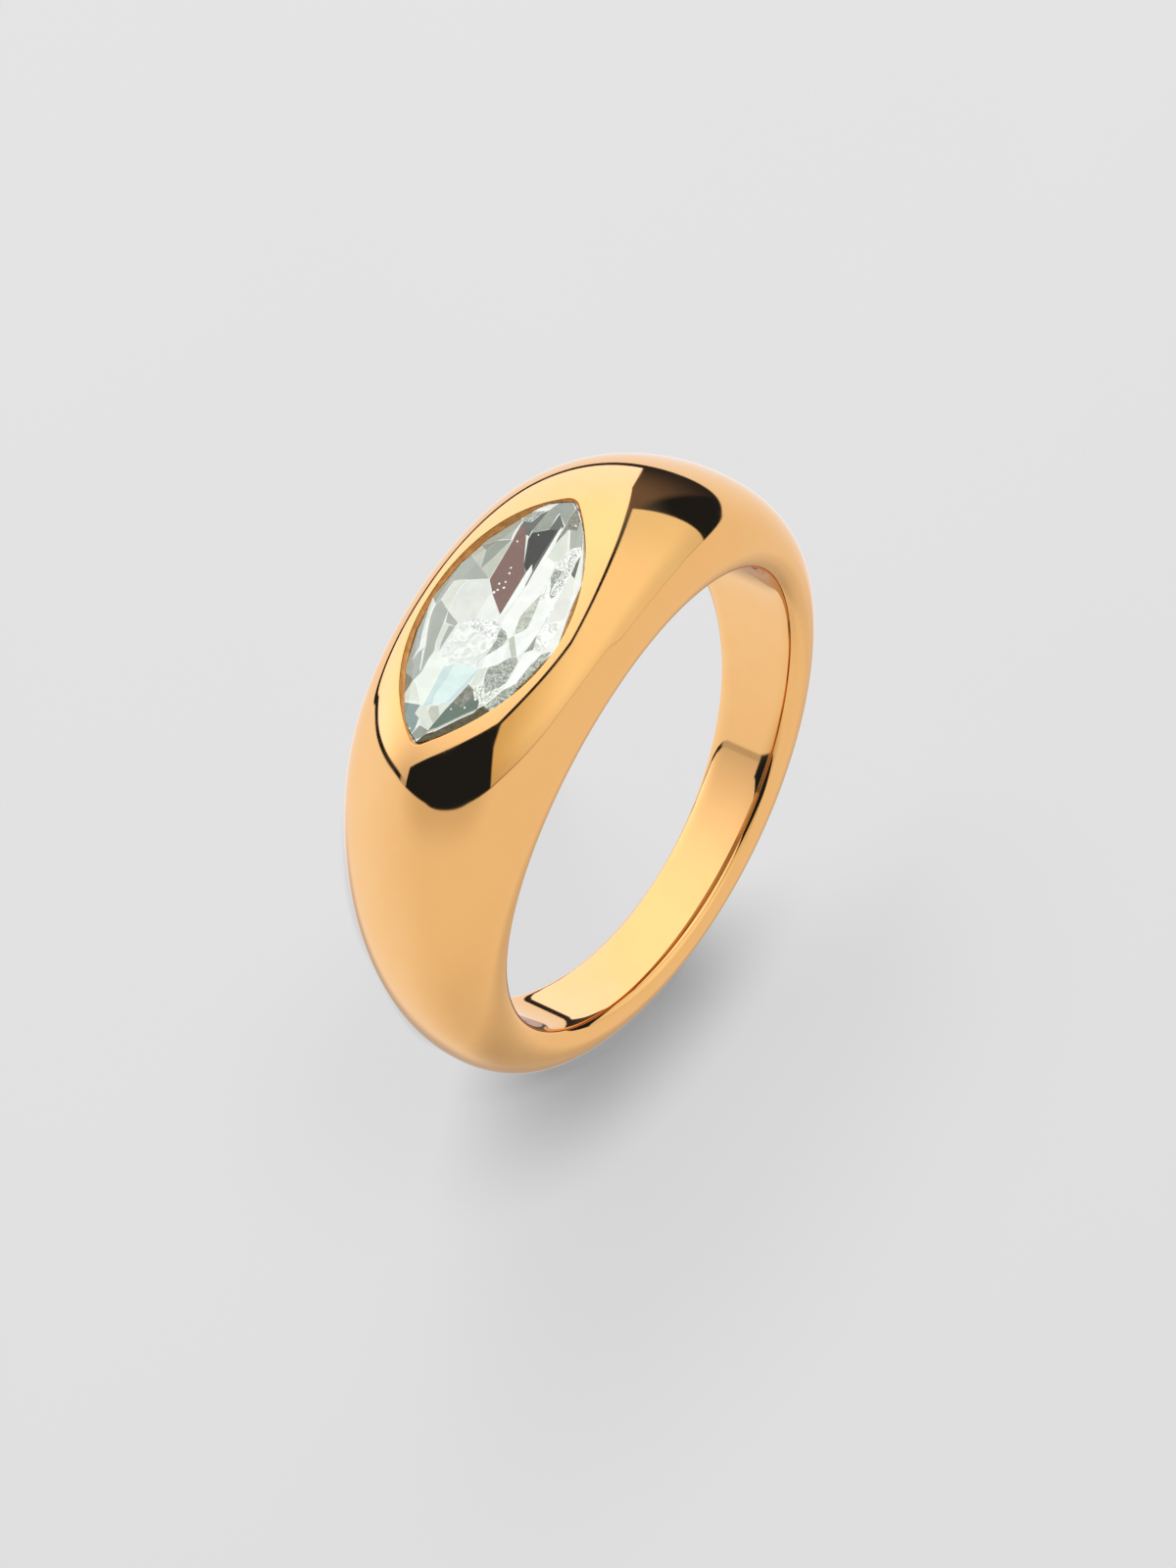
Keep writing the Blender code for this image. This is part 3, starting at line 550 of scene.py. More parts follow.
def casting_mesh():
    """The casting with its seat, with the true surface's direction at each corner."""
    shape = bmesh.new()
    normal_of = shape.verts.layers.float_vector.new("direction")
    flat = shape.faces.layers.int.new("flat")

    def vertex(point, normal):
        made = shape.verts.new(point)
        made[normal_of] = normal
        return made

    places = np.array(section_places())
    angles = np.radians(np.arange(STEPS_AROUND) * 360.0 / STEPS_AROUND)
    angle_grid, place_grid = np.meshgrid(angles, places, indexing="ij")
    points = casting_point(angle_grid, place_grid)
    normals = casting_normal(angle_grid, place_grid)
    columns = len(places)
    middle = int(np.argmin(np.abs(places)))
    patch_columns = range(middle - HEAD_PATCH_CROWN, middle + HEAD_PATCH_CROWN + 1)
    patch_rows = [i % STEPS_AROUND for i in range(-HEAD_PATCH_STEPS, HEAD_PATCH_STEPS + 1)]
    inner_rows, inner_columns = set(patch_rows[1:-1]), set(patch_columns[1:-1])
    grid = {}
    for i in range(STEPS_AROUND):
        for j in range(columns):
            if not (i in inner_rows and j in inner_columns):
                grid[i, j] = vertex(points[i, j], normals[i, j])
    for i in range(STEPS_AROUND):
        k = (i + 1) % STEPS_AROUND
        for j in range(columns):
            m = (j + 1) % columns
            corners = [(i, j), (k, j), (k, m), (i, m)]
            in_patch = all(c[0] in patch_rows and c[1] in patch_columns for c in corners)
            if not in_patch and all(c in grid for c in corners):
                shape.faces.new([grid[c] for c in corners])

    # The head round the stone: the grid's own points, and rings that follow the rim
    spread = np.array([(BORE_RADIUS + HEAD_RISE) / MM, PATCH_STRETCH])
    flat_points, made = [], []

    def add(angle, place, corner=None):
        flat_points.append(Vector((angle * spread[0], place * spread[1])))
        if corner is None:
            a, p = np.array([angle]), np.array([place])
            corner = vertex(casting_point(a, p)[0], casting_normal(a, p)[0])
        made.append(corner)
        return len(made) - 1

    ease_loop = []
    for band in (0.0, *RIM_BANDS):
        for point in marquise_outline(SEAT_CLEARANCE + RIM_EASE + band):
            index = add(*dome_place(point.x, point.y))
            if band == 0.0:
                ease_loop.append(index)
    keep_out = marquise_outline(SEAT_CLEARANCE + RIM_EASE + RIM_BANDS[-1] + RIM_KEEP_OUT)
    for i in patch_rows:
        angle = angles[i] if i <= HEAD_PATCH_STEPS else angles[i] - 2.0 * math.pi
        for j in patch_columns:
            if (i, j) in grid:
                add(angle, places[j], grid[i, j])
            elif not inside(Vector((points[i, j][0], points[i, j][2])), keep_out):
                add(angle, places[j])
    hole_edges = [(ease_loop[i], ease_loop[(i + 1) % len(ease_loop)]) for i in range(len(ease_loop))]
    _, _, triangles, sources, _, _ = delaunay_2d_cdt(flat_points, hole_edges, [], 0, HEAD_MERGE)
    hole = [flat_points[i] for i in ease_loop]
    for triangle in triangles:
        own = [sources[corner][0] for corner in triangle]
        centre = sum((flat_points[i] for i in own), Vector((0.0, 0.0))) / 3.0
        if not inside(centre, hole):
            shape.faces.new([made[i] for i in own])

    # The eased rim and the seat's wall
    edge_outline = marquise_outline(SEAT_CLEARANCE)
    outer = [made[i] for i in ease_loop]
    start = [np.array(v.co) for v in outer]
    count = len(edge_outline)
    edge = [casting_point(*(np.array(v) for v in dome_place(p.x, p.y))) for p in edge_outline]
    drop = np.array([0.0, RIM_EASE, 0.0])
    previous = outer
    for step in range(1, STEPS_RIM + 1):
        t = step / STEPS_RIM
        ring = []
        for i in range(count):
            a, b, c = start[i], edge[i], edge[i] + drop
            point = (1.0 - t) ** 2 * a + 2.0 * t * (1.0 - t) * b + t ** 2 * c
            tangent = (1.0 - t) * (b - a) + t * (c - b)
            along = edge[(i + 1) % count] - edge[i - 1]
            normal = np.cross(along, tangent)
            if normal @ (2.0 * b - a - c) < 0.0:
                normal = -normal
            ring.append(vertex(point, normal / np.linalg.norm(normal)))
        stitch(shape, previous, ring)
        previous = ring
    for step in range(1, STEPS_WALL + 1):
        ring = []
        for i, v in enumerate(previous):
            bottom = in_ring_frame((edge_outline[i].x, edge_outline[i].y, 0.0))
            share = 1.0 / (STEPS_WALL + 1 - step)
            ring.append(vertex(np.array(v.co) * (1.0 - share) + bottom * share, v[normal_of]))
        # The wall takes the seat's gold, whose darker colour is painted shade
        stitch(shape, previous, ring, SEAT_SLOT)
        previous = ring

    # The seat under the girdle, cut as the stone is
    stations = girdle_stations()
    floor_level = -GIRDLE_TOP - PAVILION_DEPTH
    seat = blank_mesh(edge_outline, floor_level * BLANK_SHARE, 0.0)
    seat_floor = (Vector((0.0, 0.0, floor_level)), Vector((0.0, 0.0, -1.0)))
    grind(seat, pavilion_facets(stations, -GIRDLE_TOP, PAVILION_DEPTH) + [seat_floor], grow=SEAT_CLEARANCE)
    copies = {v: vertex(in_ring_frame(v.co), (0.0, 0.0, 1.0)) for v in seat.verts}
    for face in seat.faces:
        if face.calc_center_median().z < -MERGE:
            new = shape.faces.new([copies[v] for v in reversed(face.verts)])
            new[flat] = 1
            # The seat's floor takes the same gold with painted shade
            new.material_index = SEAT_SLOT
    seat.free()
    bmesh.ops.remove_doubles(shape, verts=previous + list(copies.values()), dist=10.0 * MERGE)
    loose = [v for v in shape.verts if not v.link_faces]
    bmesh.ops.delete(shape, geom=loose, context="VERTS")

    bmesh.ops.recalc_face_normals(shape, faces=shape.faces)
    shape.verts.ensure_lookup_table()
    corner_normals = [face.normal if face[flat] else Vector(corner[normal_of])
                      for face in shape.faces for corner in face.verts]
    turn = ring_place.to_3x3()
    corner_normals = [(turn @ n).normalized() for n in corner_normals]
    mesh = bpy.data.meshes.new("gold_casting")
    shape.to_mesh(mesh)
    shape.free()
    mesh.transform(ring_place)
    mesh.shade_smooth()
    mesh.normals_split_custom_set(corner_normals)
    for layer in ("direction", "flat"):
        mesh.attributes.remove(mesh.attributes[layer])
    return mesh


def inside(point, polygon):
    """Whether a point lies inside a closed polygon."""
    hits = False
    previous = polygon[-1]
    for corner in polygon:
        if (corner.y > point.y) != (previous.y > point.y):
            cross = previous.x + (point.y - previous.y) / (corner.y - previous.y) * (corner.x - previous.x)
            if point.x < cross:
                hits = not hits
        previous = corner
    return hits


def stitch(shape, upper, lower, slot=0):
    """Faces between two rings of as many points."""
    for i in range(len(upper)):
        k = (i + 1) % len(upper)
        face = shape.faces.new((upper[i], upper[k], lower[k], lower[i]))
        face.material_index = slot


def stone_mesh():
    """The cut stone: its crown, its backed pavilion and its girdle, whose colour is a painted reflection of
    the seat.
    """
    stations = girdle_stations()
    low, high = -GIRDLE_TOP - BLANK_SHARE * PAVILION_DEPTH, GIRDLE_TOP + BLANK_SHARE * STONE_CROWN
    shape = blank_mesh(marquise_outline(0.0), low, high)
    grind(shape, crown_facets(stations, GIRDLE_TOP) + pavilion_facets(stations, -GIRDLE_TOP, PAVILION_DEPTH))
    for face in shape.faces:
        lean = face.normal.z
        if lean < -GIRDLE_LEAN:
            face.material_index = BACKING_SLOT
        elif lean < GIRDLE_LEAN:
            face.material_index = GIRDLE_SLOT
    mesh = bpy.data.meshes.new("marquise_crystal")
    shape.to_mesh(mesh)
    shape.free()
    mesh.transform(stone_place)
    mesh.shade_smooth()
    mesh.set_sharp_from_angle(angle=SHARP_ANGLE)
    return mesh


def crown_entry(planes, start, direction, drop, floor):
    """Where a line enters the crown lowered by drop, or else the floor level, and the facet's normal."""
    facing = [(point - (0.0, 0.0, drop), normal) for point, normal in planes if direction @ normal < 0.0]
    reaches = [((point - start) @ normal) / (direction @ normal) for point, normal in facing]
    reach = max(reaches)
    normal = facing[reaches.index(reach)][1]
    return start + min(reach, (floor - start[2]) / direction[2]) * direction, normal


def foil_place(planes, seen):
    """The foil's point, to 0.01 mm, that the camera sees through the crown at a place on SEEN_LEVEL."""
    camera = np.array(stone_place.inverted() @ CAMERA_PLACE) / MM
    start = np.array([*seen, SEEN_LEVEL / MM])
    ray = (start - camera) / np.linalg.norm(start - camera)
    surface, normal = crown_entry(planes, start, ray, 0.0, 0.0)
    ratio, facing = 1.0 / CRYSTAL_IOR, -(ray @ normal)
    bent = ratio * ray + (ratio * facing - math.sqrt(1.0 - ratio ** 2 * (1.0 - facing ** 2))) * normal
    place, _ = crown_entry(planes, surface, bent, MOSAIC_DEPTH / MM, -GIRDLE_TOP / MM)
    return round(place[0], 2), round(place[1], 2)


def foil_polygons(planes):
    """The corners of the foil's facets and painted glints, in mm, and the tone and wear of each."""
    planes = [(np.array(point) / MM, np.array(normal)) for point, normal in planes]
    polygons = [[Vector(foil_place(planes, corner)) for corner in facet.corners] for facet in MOSAIC]
    looks = [(facet.tone, facet.worn) for facet in MOSAIC]
    turns = [math.radians(360.0 / GLINT_CORNERS * i) for i in range(GLINT_CORNERS)]
    for glint in PAINTED_GLINTS:
        x, y = foil_place(planes, (glint.x, glint.y))
        polygons.append([Vector((x + glint.radius * math.cos(turn), y + glint.radius * math.sin(turn)))
                         for turn in turns])
        looks.append((GLINT_TONE, 0.0))
    return polygons, looks


def mosaic_mesh(tones):
    """The foil behind the crown, in tones of painted light and shade: facets side by side under the crown's
    own, each slightly tilted.
    """
    facet_planes = crown_facets(girdle_stations(), GIRDLE_TOP)
    planes = [(point, normal) for point, normal in facet_planes if normal.z > GIRDLE_LEAN]
    polygons, looks = foil_polygons(facet_planes)

    def over(place):
        """Height of the crown over a place, in mm, and the number of its facet there."""
        x, y = place * MM
        heights = [(p.z - (n.x * (x - p.x) + n.y * (y - p.y)) / n.z) / MM for p, n in planes]
        return min(heights), heights.index(min(heights))

    outline = [point / MM for point in marquise_outline(-MOSAIC_INSET)]
    crown = blank_mesh(marquise_outline(0.0), -GIRDLE_TOP, GIRDLE_TOP + BLANK_SHARE * STONE_CROWN)
    grind(crown, facet_planes)
    crown_loops = [[v.co.xy / MM for v in face.verts] for face in crown.faces if face.normal.z > GIRDLE_LEAN]
    crown.free()
    points, edges = [], []
    for loop in [outline] + crown_loops + polygons:
        start, count = len(points), len(loop)
        points.extend(loop)
        edges.extend((start + i, start + (i + 1) % count) for i in range(count))
    corners, _, triangles, _, _, _ = delaunay_2d_cdt(points, edges, [], 0, FOIL_MERGE)
    faces, slots, normals = [], [], []
    for triangle in triangles:
        centre = sum((corners[i] for i in triangle), Vector((0.0, 0.0))) / 3.0
        if inside(centre, outline):
            owner = max((i for i, polygon in enumerate(polygons) if inside(centre, polygon)), default=-1)
            faces.append(triangle)
            slots.append(tones.index(BARE_FOIL if owner < 0 else looks[owner]))
            turn = owner * GOLDEN_ANGLE
            tilt = Vector((math.cos(turn), math.sin(turn), 0.0)) * MOSAIC_TILT
            lean = planes[over(centre)[1]][1]
            lean = Vector((lean.x, max(lean.y, 0.0), lean.z)).normalized()
            normals.append((lean + tilt).normalized())
    mesh = bpy.data.meshes.new("painted_foil_facets")
    mesh.from_pydata([(p.x * MM, p.y * MM, over(p)[0] * MM - MOSAIC_DEPTH) for p in corners], [], faces)
    mesh.transform(stone_place)
    turn = stone_place.to_3x3()
    mesh.normals_split_custom_set([turn @ normal for normal in normals for _ in range(3)])
    for polygon, slot in zip(mesh.polygons, slots):
        polygon.material_index = slot
    return mesh


class Net:
    """Builds a node tree from short calls. A value is a number, a colour or another node's output."""

    def __init__(self, tree):
        self.tree = tree

    def node(self, kind, **settings):
        node = self.tree.nodes.new(kind)
        for name, value in settings.items():
            setattr(node, name, value)
        return node

    def feed(self, socket, value):
        if isinstance(value, bpy.types.NodeSocket):
            self.tree.links.new(value, socket)
        elif socket.type == "RGBA":
            socket.default_value = (*value, 1.0)
        else:
            socket.default_value = value

    def math(self, operation, *values, clamp=False):
        node = self.node("ShaderNodeMath", operation=operation, use_clamp=clamp)
        for socket, value in zip(node.inputs, values):
            self.feed(socket, value)
        return node.outputs[0]

    def plus(self, *values):
        return reduce(lambda total, value: self.math("ADD", total, value), values)

    def times(self, *values):
        return reduce(lambda total, value: self.math("MULTIPLY", total, value), values)

    def minus(self, first, second):
        return self.math("SUBTRACT", first, second)

    def least(self, *values):
        return reduce(lambda total, value: self.math("MINIMUM", total, value), values)

    def most(self, *values):
        return reduce(lambda total, value: self.math("MAXIMUM", total, value), values)

    def dot(self, vector, direction):
        node = self.node("ShaderNodeVectorMath", operation="DOT_PRODUCT")
        self.feed(node.inputs[0], vector)
        self.feed(node.inputs[1], direction)
        return node.outputs["Value"]

    def step(self, value, low, high, to_low=0.0, to_high=1.0):
        """A smooth step from to_low to to_high while value goes from low to high."""
        node = self.node("ShaderNodeMapRange", interpolation_type="SMOOTHSTEP")
        for socket, number in zip(node.inputs, (value, low, high, to_low, to_high)):
            self.feed(socket, number)
        return node.outputs[0]

    def mix(self, share, first, second):
        node = self.node("ShaderNodeMix", data_type="RGBA")
        for index, value in ((0, share), (6, first), (7, second)):
            self.feed(node.inputs[index], value)
        return node.outputs[2]


# Directions of the photographed studio, in the row frame: its up, level toward the camera,
# and level sideways
STUDIO_AXES = (
    (-0.53618, -0.84373, 0.02518),
    (0.61019, -0.36681, 0.70223),
    (-0.58325, 0.39188, 0.71151),
)

# Colours of the studio's parts, as light
BLACK = (0.0, 0.0, 0.0)
BACKDROP = (0.752, 0.752, 0.752)
FLOOR_FILL = (0.423, 0.423, 0.423)
FLOOR_NEAR = (0.83, 0.82, 0.77)
FLOOR_FAR = (0.94, 1.02, 1.15)
FLOOR_DIP = (0.1, 0.05, 0.0)
FLOOR_IN_SHADE = (0.42, 0.40, 0.38)
ROOM = (0.0125, 0.018, 0.033)
ROOM_HAZE = (0.08, 0.10, 0.13)
ROOM_WALL = (0.15, 0.13, 0.14)
PANEL_LEFT = (0.68, 0.62, 0.42)
PANEL_RIGHT = (1.0, 1.03, 0.93)
PANEL_FOOT = (0.25, 0.2, 0.15)
SCRIM = (1.36, 1.36, 1.36)
SCRIM_GLOW = (1.35, 1.45, 1.9)
SCRIM_BACK = (1.36, 1.34, 1.6)
SECOND_REFLECTION = (0.15, 0.4, 0.9)
# What the stone's foil reflects, from one side of the studio to the other
STONE_SKY_COOL = (1.12, 1.14, 1.15)
STONE_SKY_WARM = (1.26, 1.25, 1.22)

# Directions in the studio, as amounts of its up, toward and side
AIM = SimpleNamespace(
    far_floor=(0.0, -0.8, -0.6),
    dip=(0.0, 0.866, -0.5),
    under_ring=(-0.866, -0.41, 0.287),
    past_ring=(-0.51, -0.86, 0.0),
    below_ring=(-0.858, 0.508, -0.071),
    scrim_edge=((0.565, -0.055, -1.0), (0.42, -0.155, -1.0)),
    scrim_corner=(1.375, -1.16, -1.0),
    scrim_front=((1.5, -1.0, 0.0), (1.25, -1.0, -0.25)),
    panel_front=(0.425, 1.0, 0.416),
    panel_start=(0.27, 0.0, 1.0),
)

# How the studio's parts fade: from where to where, then from what share to what share where
# that isn't 0 to 1. Azimuths and elevations are in degrees
FADE = SimpleNamespace(
    far_floor=(-0.1, 0.9),
    steep_floor=(-45.0, -85.0, 0.0, 0.14),
    dip_elevation=(-26.0, -3.0),
    dip=(0.72, 0.97, 0.0, 0.22),
    under_ring=(0.88, 0.99, 0.0, 0.32),
    haze_elevation=(26.0, 44.0),
    haze_azimuth=(90.0, 110.0),
    wall_elevation=(3.0, 37.0, 0.07, 1.0),
    wall=(-1.0, 1.0),
    front_azimuth=(0.0, 8.0),
    panel_level=(0.0, 50.0),
    panel_far=(75.0, 125.0, 0.0, 0.14),
    panel_low=(22.0, 2.0, 0.0, 0.17),
    panel_edge=(-0.038, -0.052),
    panel_front=(-0.008, 0.008),
    panel_start=(-0.012, 0.02),
    scrim_dim=(-0.3, 0.45, 0.0, 0.62),
    glow_elevation=(24.0, 9.0),
    glow_toward=(0.15, -0.4),
    back_toward=(-0.35, -0.85),
    back_elevation=(70.0, 30.0),
    scrim_base=(120.0, 165.0, 2.2, 4.0),
    line_end=(-75.0, -71.0, 0.0, 0.8),
    line_start=(-64.0, -66.5),
    scrim_edge=(-0.004, 0.006),
    scrim_front=(-0.006, 0.006),
    foot_height=(1.6, 0.6),
    foot_azimuth=(0.0, 70.0, 0.8, 0.28),
    horizon=(-0.5, 0.5),
    past_ring=(0.8, 0.95, 0.0, 0.8),
    below_ring=(0.0, 0.15),
    second_reflection=(1.4, 1.6, 0.0, 0.5),
    stone_sky=(-0.7, 0.7),
)

# The grey wall's edge: its azimuth at the horizon and how fast it bends back, and its softness
# at the horizon and per degree above it
WALL_AZIMUTH = 145.2
WALL_BEND = -0.0055
WALL_SOFTNESS = 0.7
WALL_SOFTENING = 0.12
# The scrim's front edge at the left: its elevation by azimuth, and where it ends
LEFT_EDGE = (39.5, 0.0492, -0.00522)
LEFT_END = -67.0
# How far aside the panel starts, high up and low down
PANEL_ASIDE = 0.13
PANEL_ASIDE_LOW = 0.01

# Height of the table's far edge round the studio, in degrees, where the gold shows it
Edge = namedtuple("Edge", "azimuth elevation")
TABLE_EDGE = tuple(Edge(*row) for row in (
    (-180.0, 3.3), (-160.0, 1.2), (-141.0, -1.9), (-128.0, 2.2), (-112.0, 4.8), (-91.0, 5.6), (-70.0, 3.4),
    (-49.0, 0.1), (-31.0, -2.3), (-9.0, -0.4), (7.0, 1.5), (24.0, 3.6), (39.0, 3.9), (59.0, 6.2), (71.0, 1.0),
    (90.0, -5.2), (103.0, -2.7), (128.0, 1.9), (148.0, 4.5), (180.0, 3.3),
))
EDGE_LOW = -6.0
EDGE_SPAN = 14.0


def table_height(net, azimuth):
    """The table edge's elevation at an azimuth."""
    edge = net.node("ShaderNodeFloatCurve")
    points = edge.mapping.curves[0].points
    for station in TABLE_EDGE[1:-1]:
        points.new(station.azimuth / 360.0 + 0.5, (station.elevation - EDGE_LOW) / EDGE_SPAN)
    for point, station in ((points[0], TABLE_EDGE[0]), (points[-1], TABLE_EDGE[-1])):
        point.location[1] = (station.elevation - EDGE_LOW) / EDGE_SPAN
    edge.mapping.update()
    net.feed(edge.inputs["Value"], net.plus(net.times(azimuth, 1.0 / 360.0), 0.5))
    return net.plus(net.times(edge.outputs[0], EDGE_SPAN), EDGE_LOW)


def set_world():
    """A pale floor, a large scrim overhead, a dimmer panel at the side and dark gaps between them."""
    world = bpy.data.worlds.new("studio")
    world.use_nodes = True
    world.cycles.sampling_method = "NONE"
    tree = world.node_tree
    tree.nodes.clear()
    net = Net(tree)
    direction = net.node("ShaderNodeTexCoord").outputs["Generated"]
    up, toward, side = shares = [net.dot(direction, axis) for axis in STUDIO_AXES]
    elevation = net.math("DEGREES", net.math("ARCSINE", up))
    azimuth = net.math("DEGREES", net.math("ARCTAN2", side, toward))
    above = net.minus(elevation, table_height(net, azimuth))

    def along(amounts):
        return net.plus(*(net.times(share, amount) for share, amount in zip(shares, amounts)))

    def plane(amounts):
        """The same with the amounts scaled, so that a small change is an angle."""
        return along([amount / math.hypot(*amounts) for amount in amounts])

    # Floor of the studio
    floor = net.mix(net.step(along(AIM.far_floor), *FADE.far_floor), FLOOR_NEAR, FLOOR_FAR)
    floor = net.mix(net.step(elevation, *FADE.steep_floor), floor, BLACK)
    dip = net.times(net.step(elevation, *FADE.dip_elevation), net.step(along(AIM.dip), *FADE.dip))
    floor = net.mix(dip, floor, FLOOR_DIP)
    floor = net.mix(net.step(along(AIM.under_ring), *FADE.under_ring), floor, BLACK)

    # Room: black, with a grey stretch beside the scrim
    haze = net.times(net.step(elevation, *FADE.haze_elevation), net.step(azimuth, *FADE.haze_azimuth))
    room = net.mix(haze, ROOM, ROOM_HAZE)
    wall_start = net.plus(net.times(elevation, elevation, WALL_BEND), WALL_AZIMUTH)
    softness = net.plus(net.times(net.most(elevation, 0.0), WALL_SOFTENING), WALL_SOFTNESS)
    wall = net.step(net.math("DIVIDE", net.minus(azimuth, wall_start), softness), *FADE.wall)
    sky = net.mix(net.times(wall, net.step(elevation, *FADE.wall_elevation)), room, ROOM_WALL)

    # Panel at the side
    scrim_reach = net.least(net.most(*(plane(aim) for aim in AIM.scrim_edge)), plane(AIM.scrim_corner))
    panel = net.mix(net.step(azimuth, *FADE.panel_level), PANEL_LEFT, PANEL_RIGHT)
    panel = net.mix(net.step(azimuth, *FADE.panel_far), panel, BLACK)
    panel = net.mix(net.step(elevation, *FADE.panel_low), panel, BLACK)
    panel_start = net.least(net.minus(along(AIM.panel_start), PANEL_ASIDE), net.minus(side, PANEL_ASIDE_LOW))
    panel_mask = net.times(net.step(scrim_reach, *FADE.panel_edge),
                           net.step(plane(AIM.panel_front), *FADE.panel_front),
                           net.step(panel_start, *FADE.panel_start))
    sky = net.mix(panel_mask, sky, panel)

    # Scrim overhead, whose front edge at the left has a shape of its own
    level, slope, bend = LEFT_EDGE
    left_edge = net.plus(net.times(azimuth, azimuth, bend), net.times(azimuth, slope), level)
    left_front = net.most(net.minus(elevation, left_edge), net.minus(LEFT_END, azimuth))
    in_front = net.step(azimuth, *FADE.front_azimuth)
    scrim_front = net.plus(net.times(net.least(*(plane(aim) for aim in AIM.scrim_front)), in_front),
                           net.times(net.math("RADIANS", left_front), net.minus(1.0, in_front)))
    dim = net.times(net.step(toward, *FADE.scrim_dim), net.minus(1.0, up))
    scrim = net.mix(dim, SCRIM, BLACK)
    glow = net.times(net.step(elevation, *FADE.glow_elevation), net.step(toward, *FADE.glow_toward))
    scrim = net.mix(glow, scrim, SCRIM_GLOW)
    back = net.times(net.step(toward, *FADE.back_toward), net.step(elevation, *FADE.back_elevation))
    scrim = net.mix(back, scrim, SCRIM_BACK)
    base = net.minus(above, net.step(net.math("ABSOLUTE", azimuth), *FADE.scrim_base))
    faded_line = net.times(net.step(azimuth, *FADE.line_end), net.step(azimuth, *FADE.line_start))
    scrim_mask = net.times(net.step(scrim_reach, *FADE.scrim_edge), net.step(scrim_front, *FADE.scrim_front),
                           net.most(net.step(base, 0.0, 1.0), faded_line))
    sky = net.mix(scrim_mask, sky, scrim)

    # Thin line where the panel stands on the floor
    foot = net.times(net.step(above, *FADE.foot_height), panel_mask, net.step(azimuth, *FADE.foot_azimuth))
    sky = net.mix(foot, sky, PANEL_FOOT)
    studio = net.mix(net.step(above, *FADE.horizon), floor, sky)

    # Floor behind the ring, in its own shade: only grazing reflections along its lower outline meet it
    grazing = net.times(net.step(along(AIM.past_ring), *FADE.past_ring),
                        net.step(along(AIM.below_ring), *FADE.below_ring))
    studio = net.mix(grazing, studio, FLOOR_IN_SHADE)

    # What each kind of ray sees
    path = net.node("ShaderNodeLightPath").outputs
    again = net.times(net.step(path["Glossy Depth"], *FADE.second_reflection),
                      net.minus(1.0, path["Is Transmission Ray"]))
    seen = net.mix(again, studio, SECOND_REFLECTION)
    stone_sky = net.mix(net.step(side, *FADE.stone_sky), STONE_SKY_COOL, STONE_SKY_WARM)
    for ray, sight in (("Transmission", stone_sky), ("Diffuse", FLOOR_FILL), ("Camera", BACKDROP)):
        seen = net.mix(path["Is %s Ray" % ray], seen, sight)
    background = net.node("ShaderNodeBackground")
    net.feed(background.inputs["Color"], seen)
    net.feed(net.node("ShaderNodeOutputWorld").inputs["Surface"], background.outputs[0])
    bpy.context.scene.world = world


# Materials
def new_material(name):
    material = bpy.data.materials.new(name)
    material.use_nodes = True
    return material, Net(material.node_tree), material.node_tree.nodes["Principled BSDF"]


def mottled_material(name, scale, dark, light, wander=0.15, detail=2.0, distortion=0.0, **sockets):
    """A material whose colour wanders between two tones, with the noise that it follows.

    wander is how far from the noise's middle each tone is reached. sockets are the shader's own
    values, with the spaces in their names as underscores.
    """
    material, net, shader = new_material(name)
    noise = net.node("ShaderNodeTexNoise")
    net.feed(noise.inputs["Vector"], net.node("ShaderNodeTexCoord").outputs["Object"])
    for socket, value in (("Scale", scale), ("Detail", detail), ("Distortion", distortion)):
        net.feed(noise.inputs[socket], value)
    share = net.step(noise.outputs["Fac"], 0.5 - wander, 0.5 + wander)
    net.feed(shader.inputs["Base Color"], net.mix(share, dark, light))
    for socket, value in sockets.items():
        net.feed(shader.inputs[socket.replace("_", " ")], value)
    return material, net, shader, noise.outputs["Fac"]


def gold_material():
    """Mirror-polished yellow gold plate, with the faint unevenness that polishing leaves."""
    material, net, shader, noise = mottled_material(
        "polished_gold", 900.0, (1.0, 0.556, 0.220), (1.0, 0.568, 0.228), detail=3.0,
        Metallic=1.0, Specular_Tint=(1.0, 0.92, 0.84))
    net.feed(shader.inputs["Roughness"], net.step(noise, 0.3, 0.7, 0.03, 0.06))
    return material


def seat_material():
    """The gold of the seat, with painted shade: a darker, less metallic gold for the recess round the stone.
    """
    return mottled_material("shaded_seat", 4000.0, (0.75, 0.36, 0.10), (0.95, 0.50, 0.16),
                            Metallic=0.45, Roughness=0.4)[0]


def crystal_material():
    return mottled_material("pale_crystal", 700.0, (0.935, 0.953, 0.937), (0.975, 0.972, 0.966), 0.2,
                            Roughness=0.0, IOR=CRYSTAL_IOR, Transmission_Weight=1.0)[0]


def backing_material():
    """The silvered pavilion."""
    return mottled_material("silver_backing", 1200.0, (0.84, 0.88, 0.86), (0.92, 0.94, 0.93), 0.2,
                            Metallic=1.0, Roughness=0.03)[0]


def girdle_material():
    """The girdle, with a painted reflection of the shaded gold of the seat round it."""
    return mottled_material("shaded_girdle", 5000.0, (0.22, 0.15, 0.07), (0.42, 0.33, 0.19),
                            Metallic=1.0, Roughness=0.3)[0]


# The foil's mottling and how fine it is, each new and by how much wear adds, and wear's wrinkles
FOIL_SPREAD, WORN_SPREAD = 0.03, 0.5
FOIL_GRAIN, WORN_GRAIN = 900.0, 9000.0
WRINKLE_STRENGTH = 0.4
WRINKLE_HEIGHT = 0.01 * MM


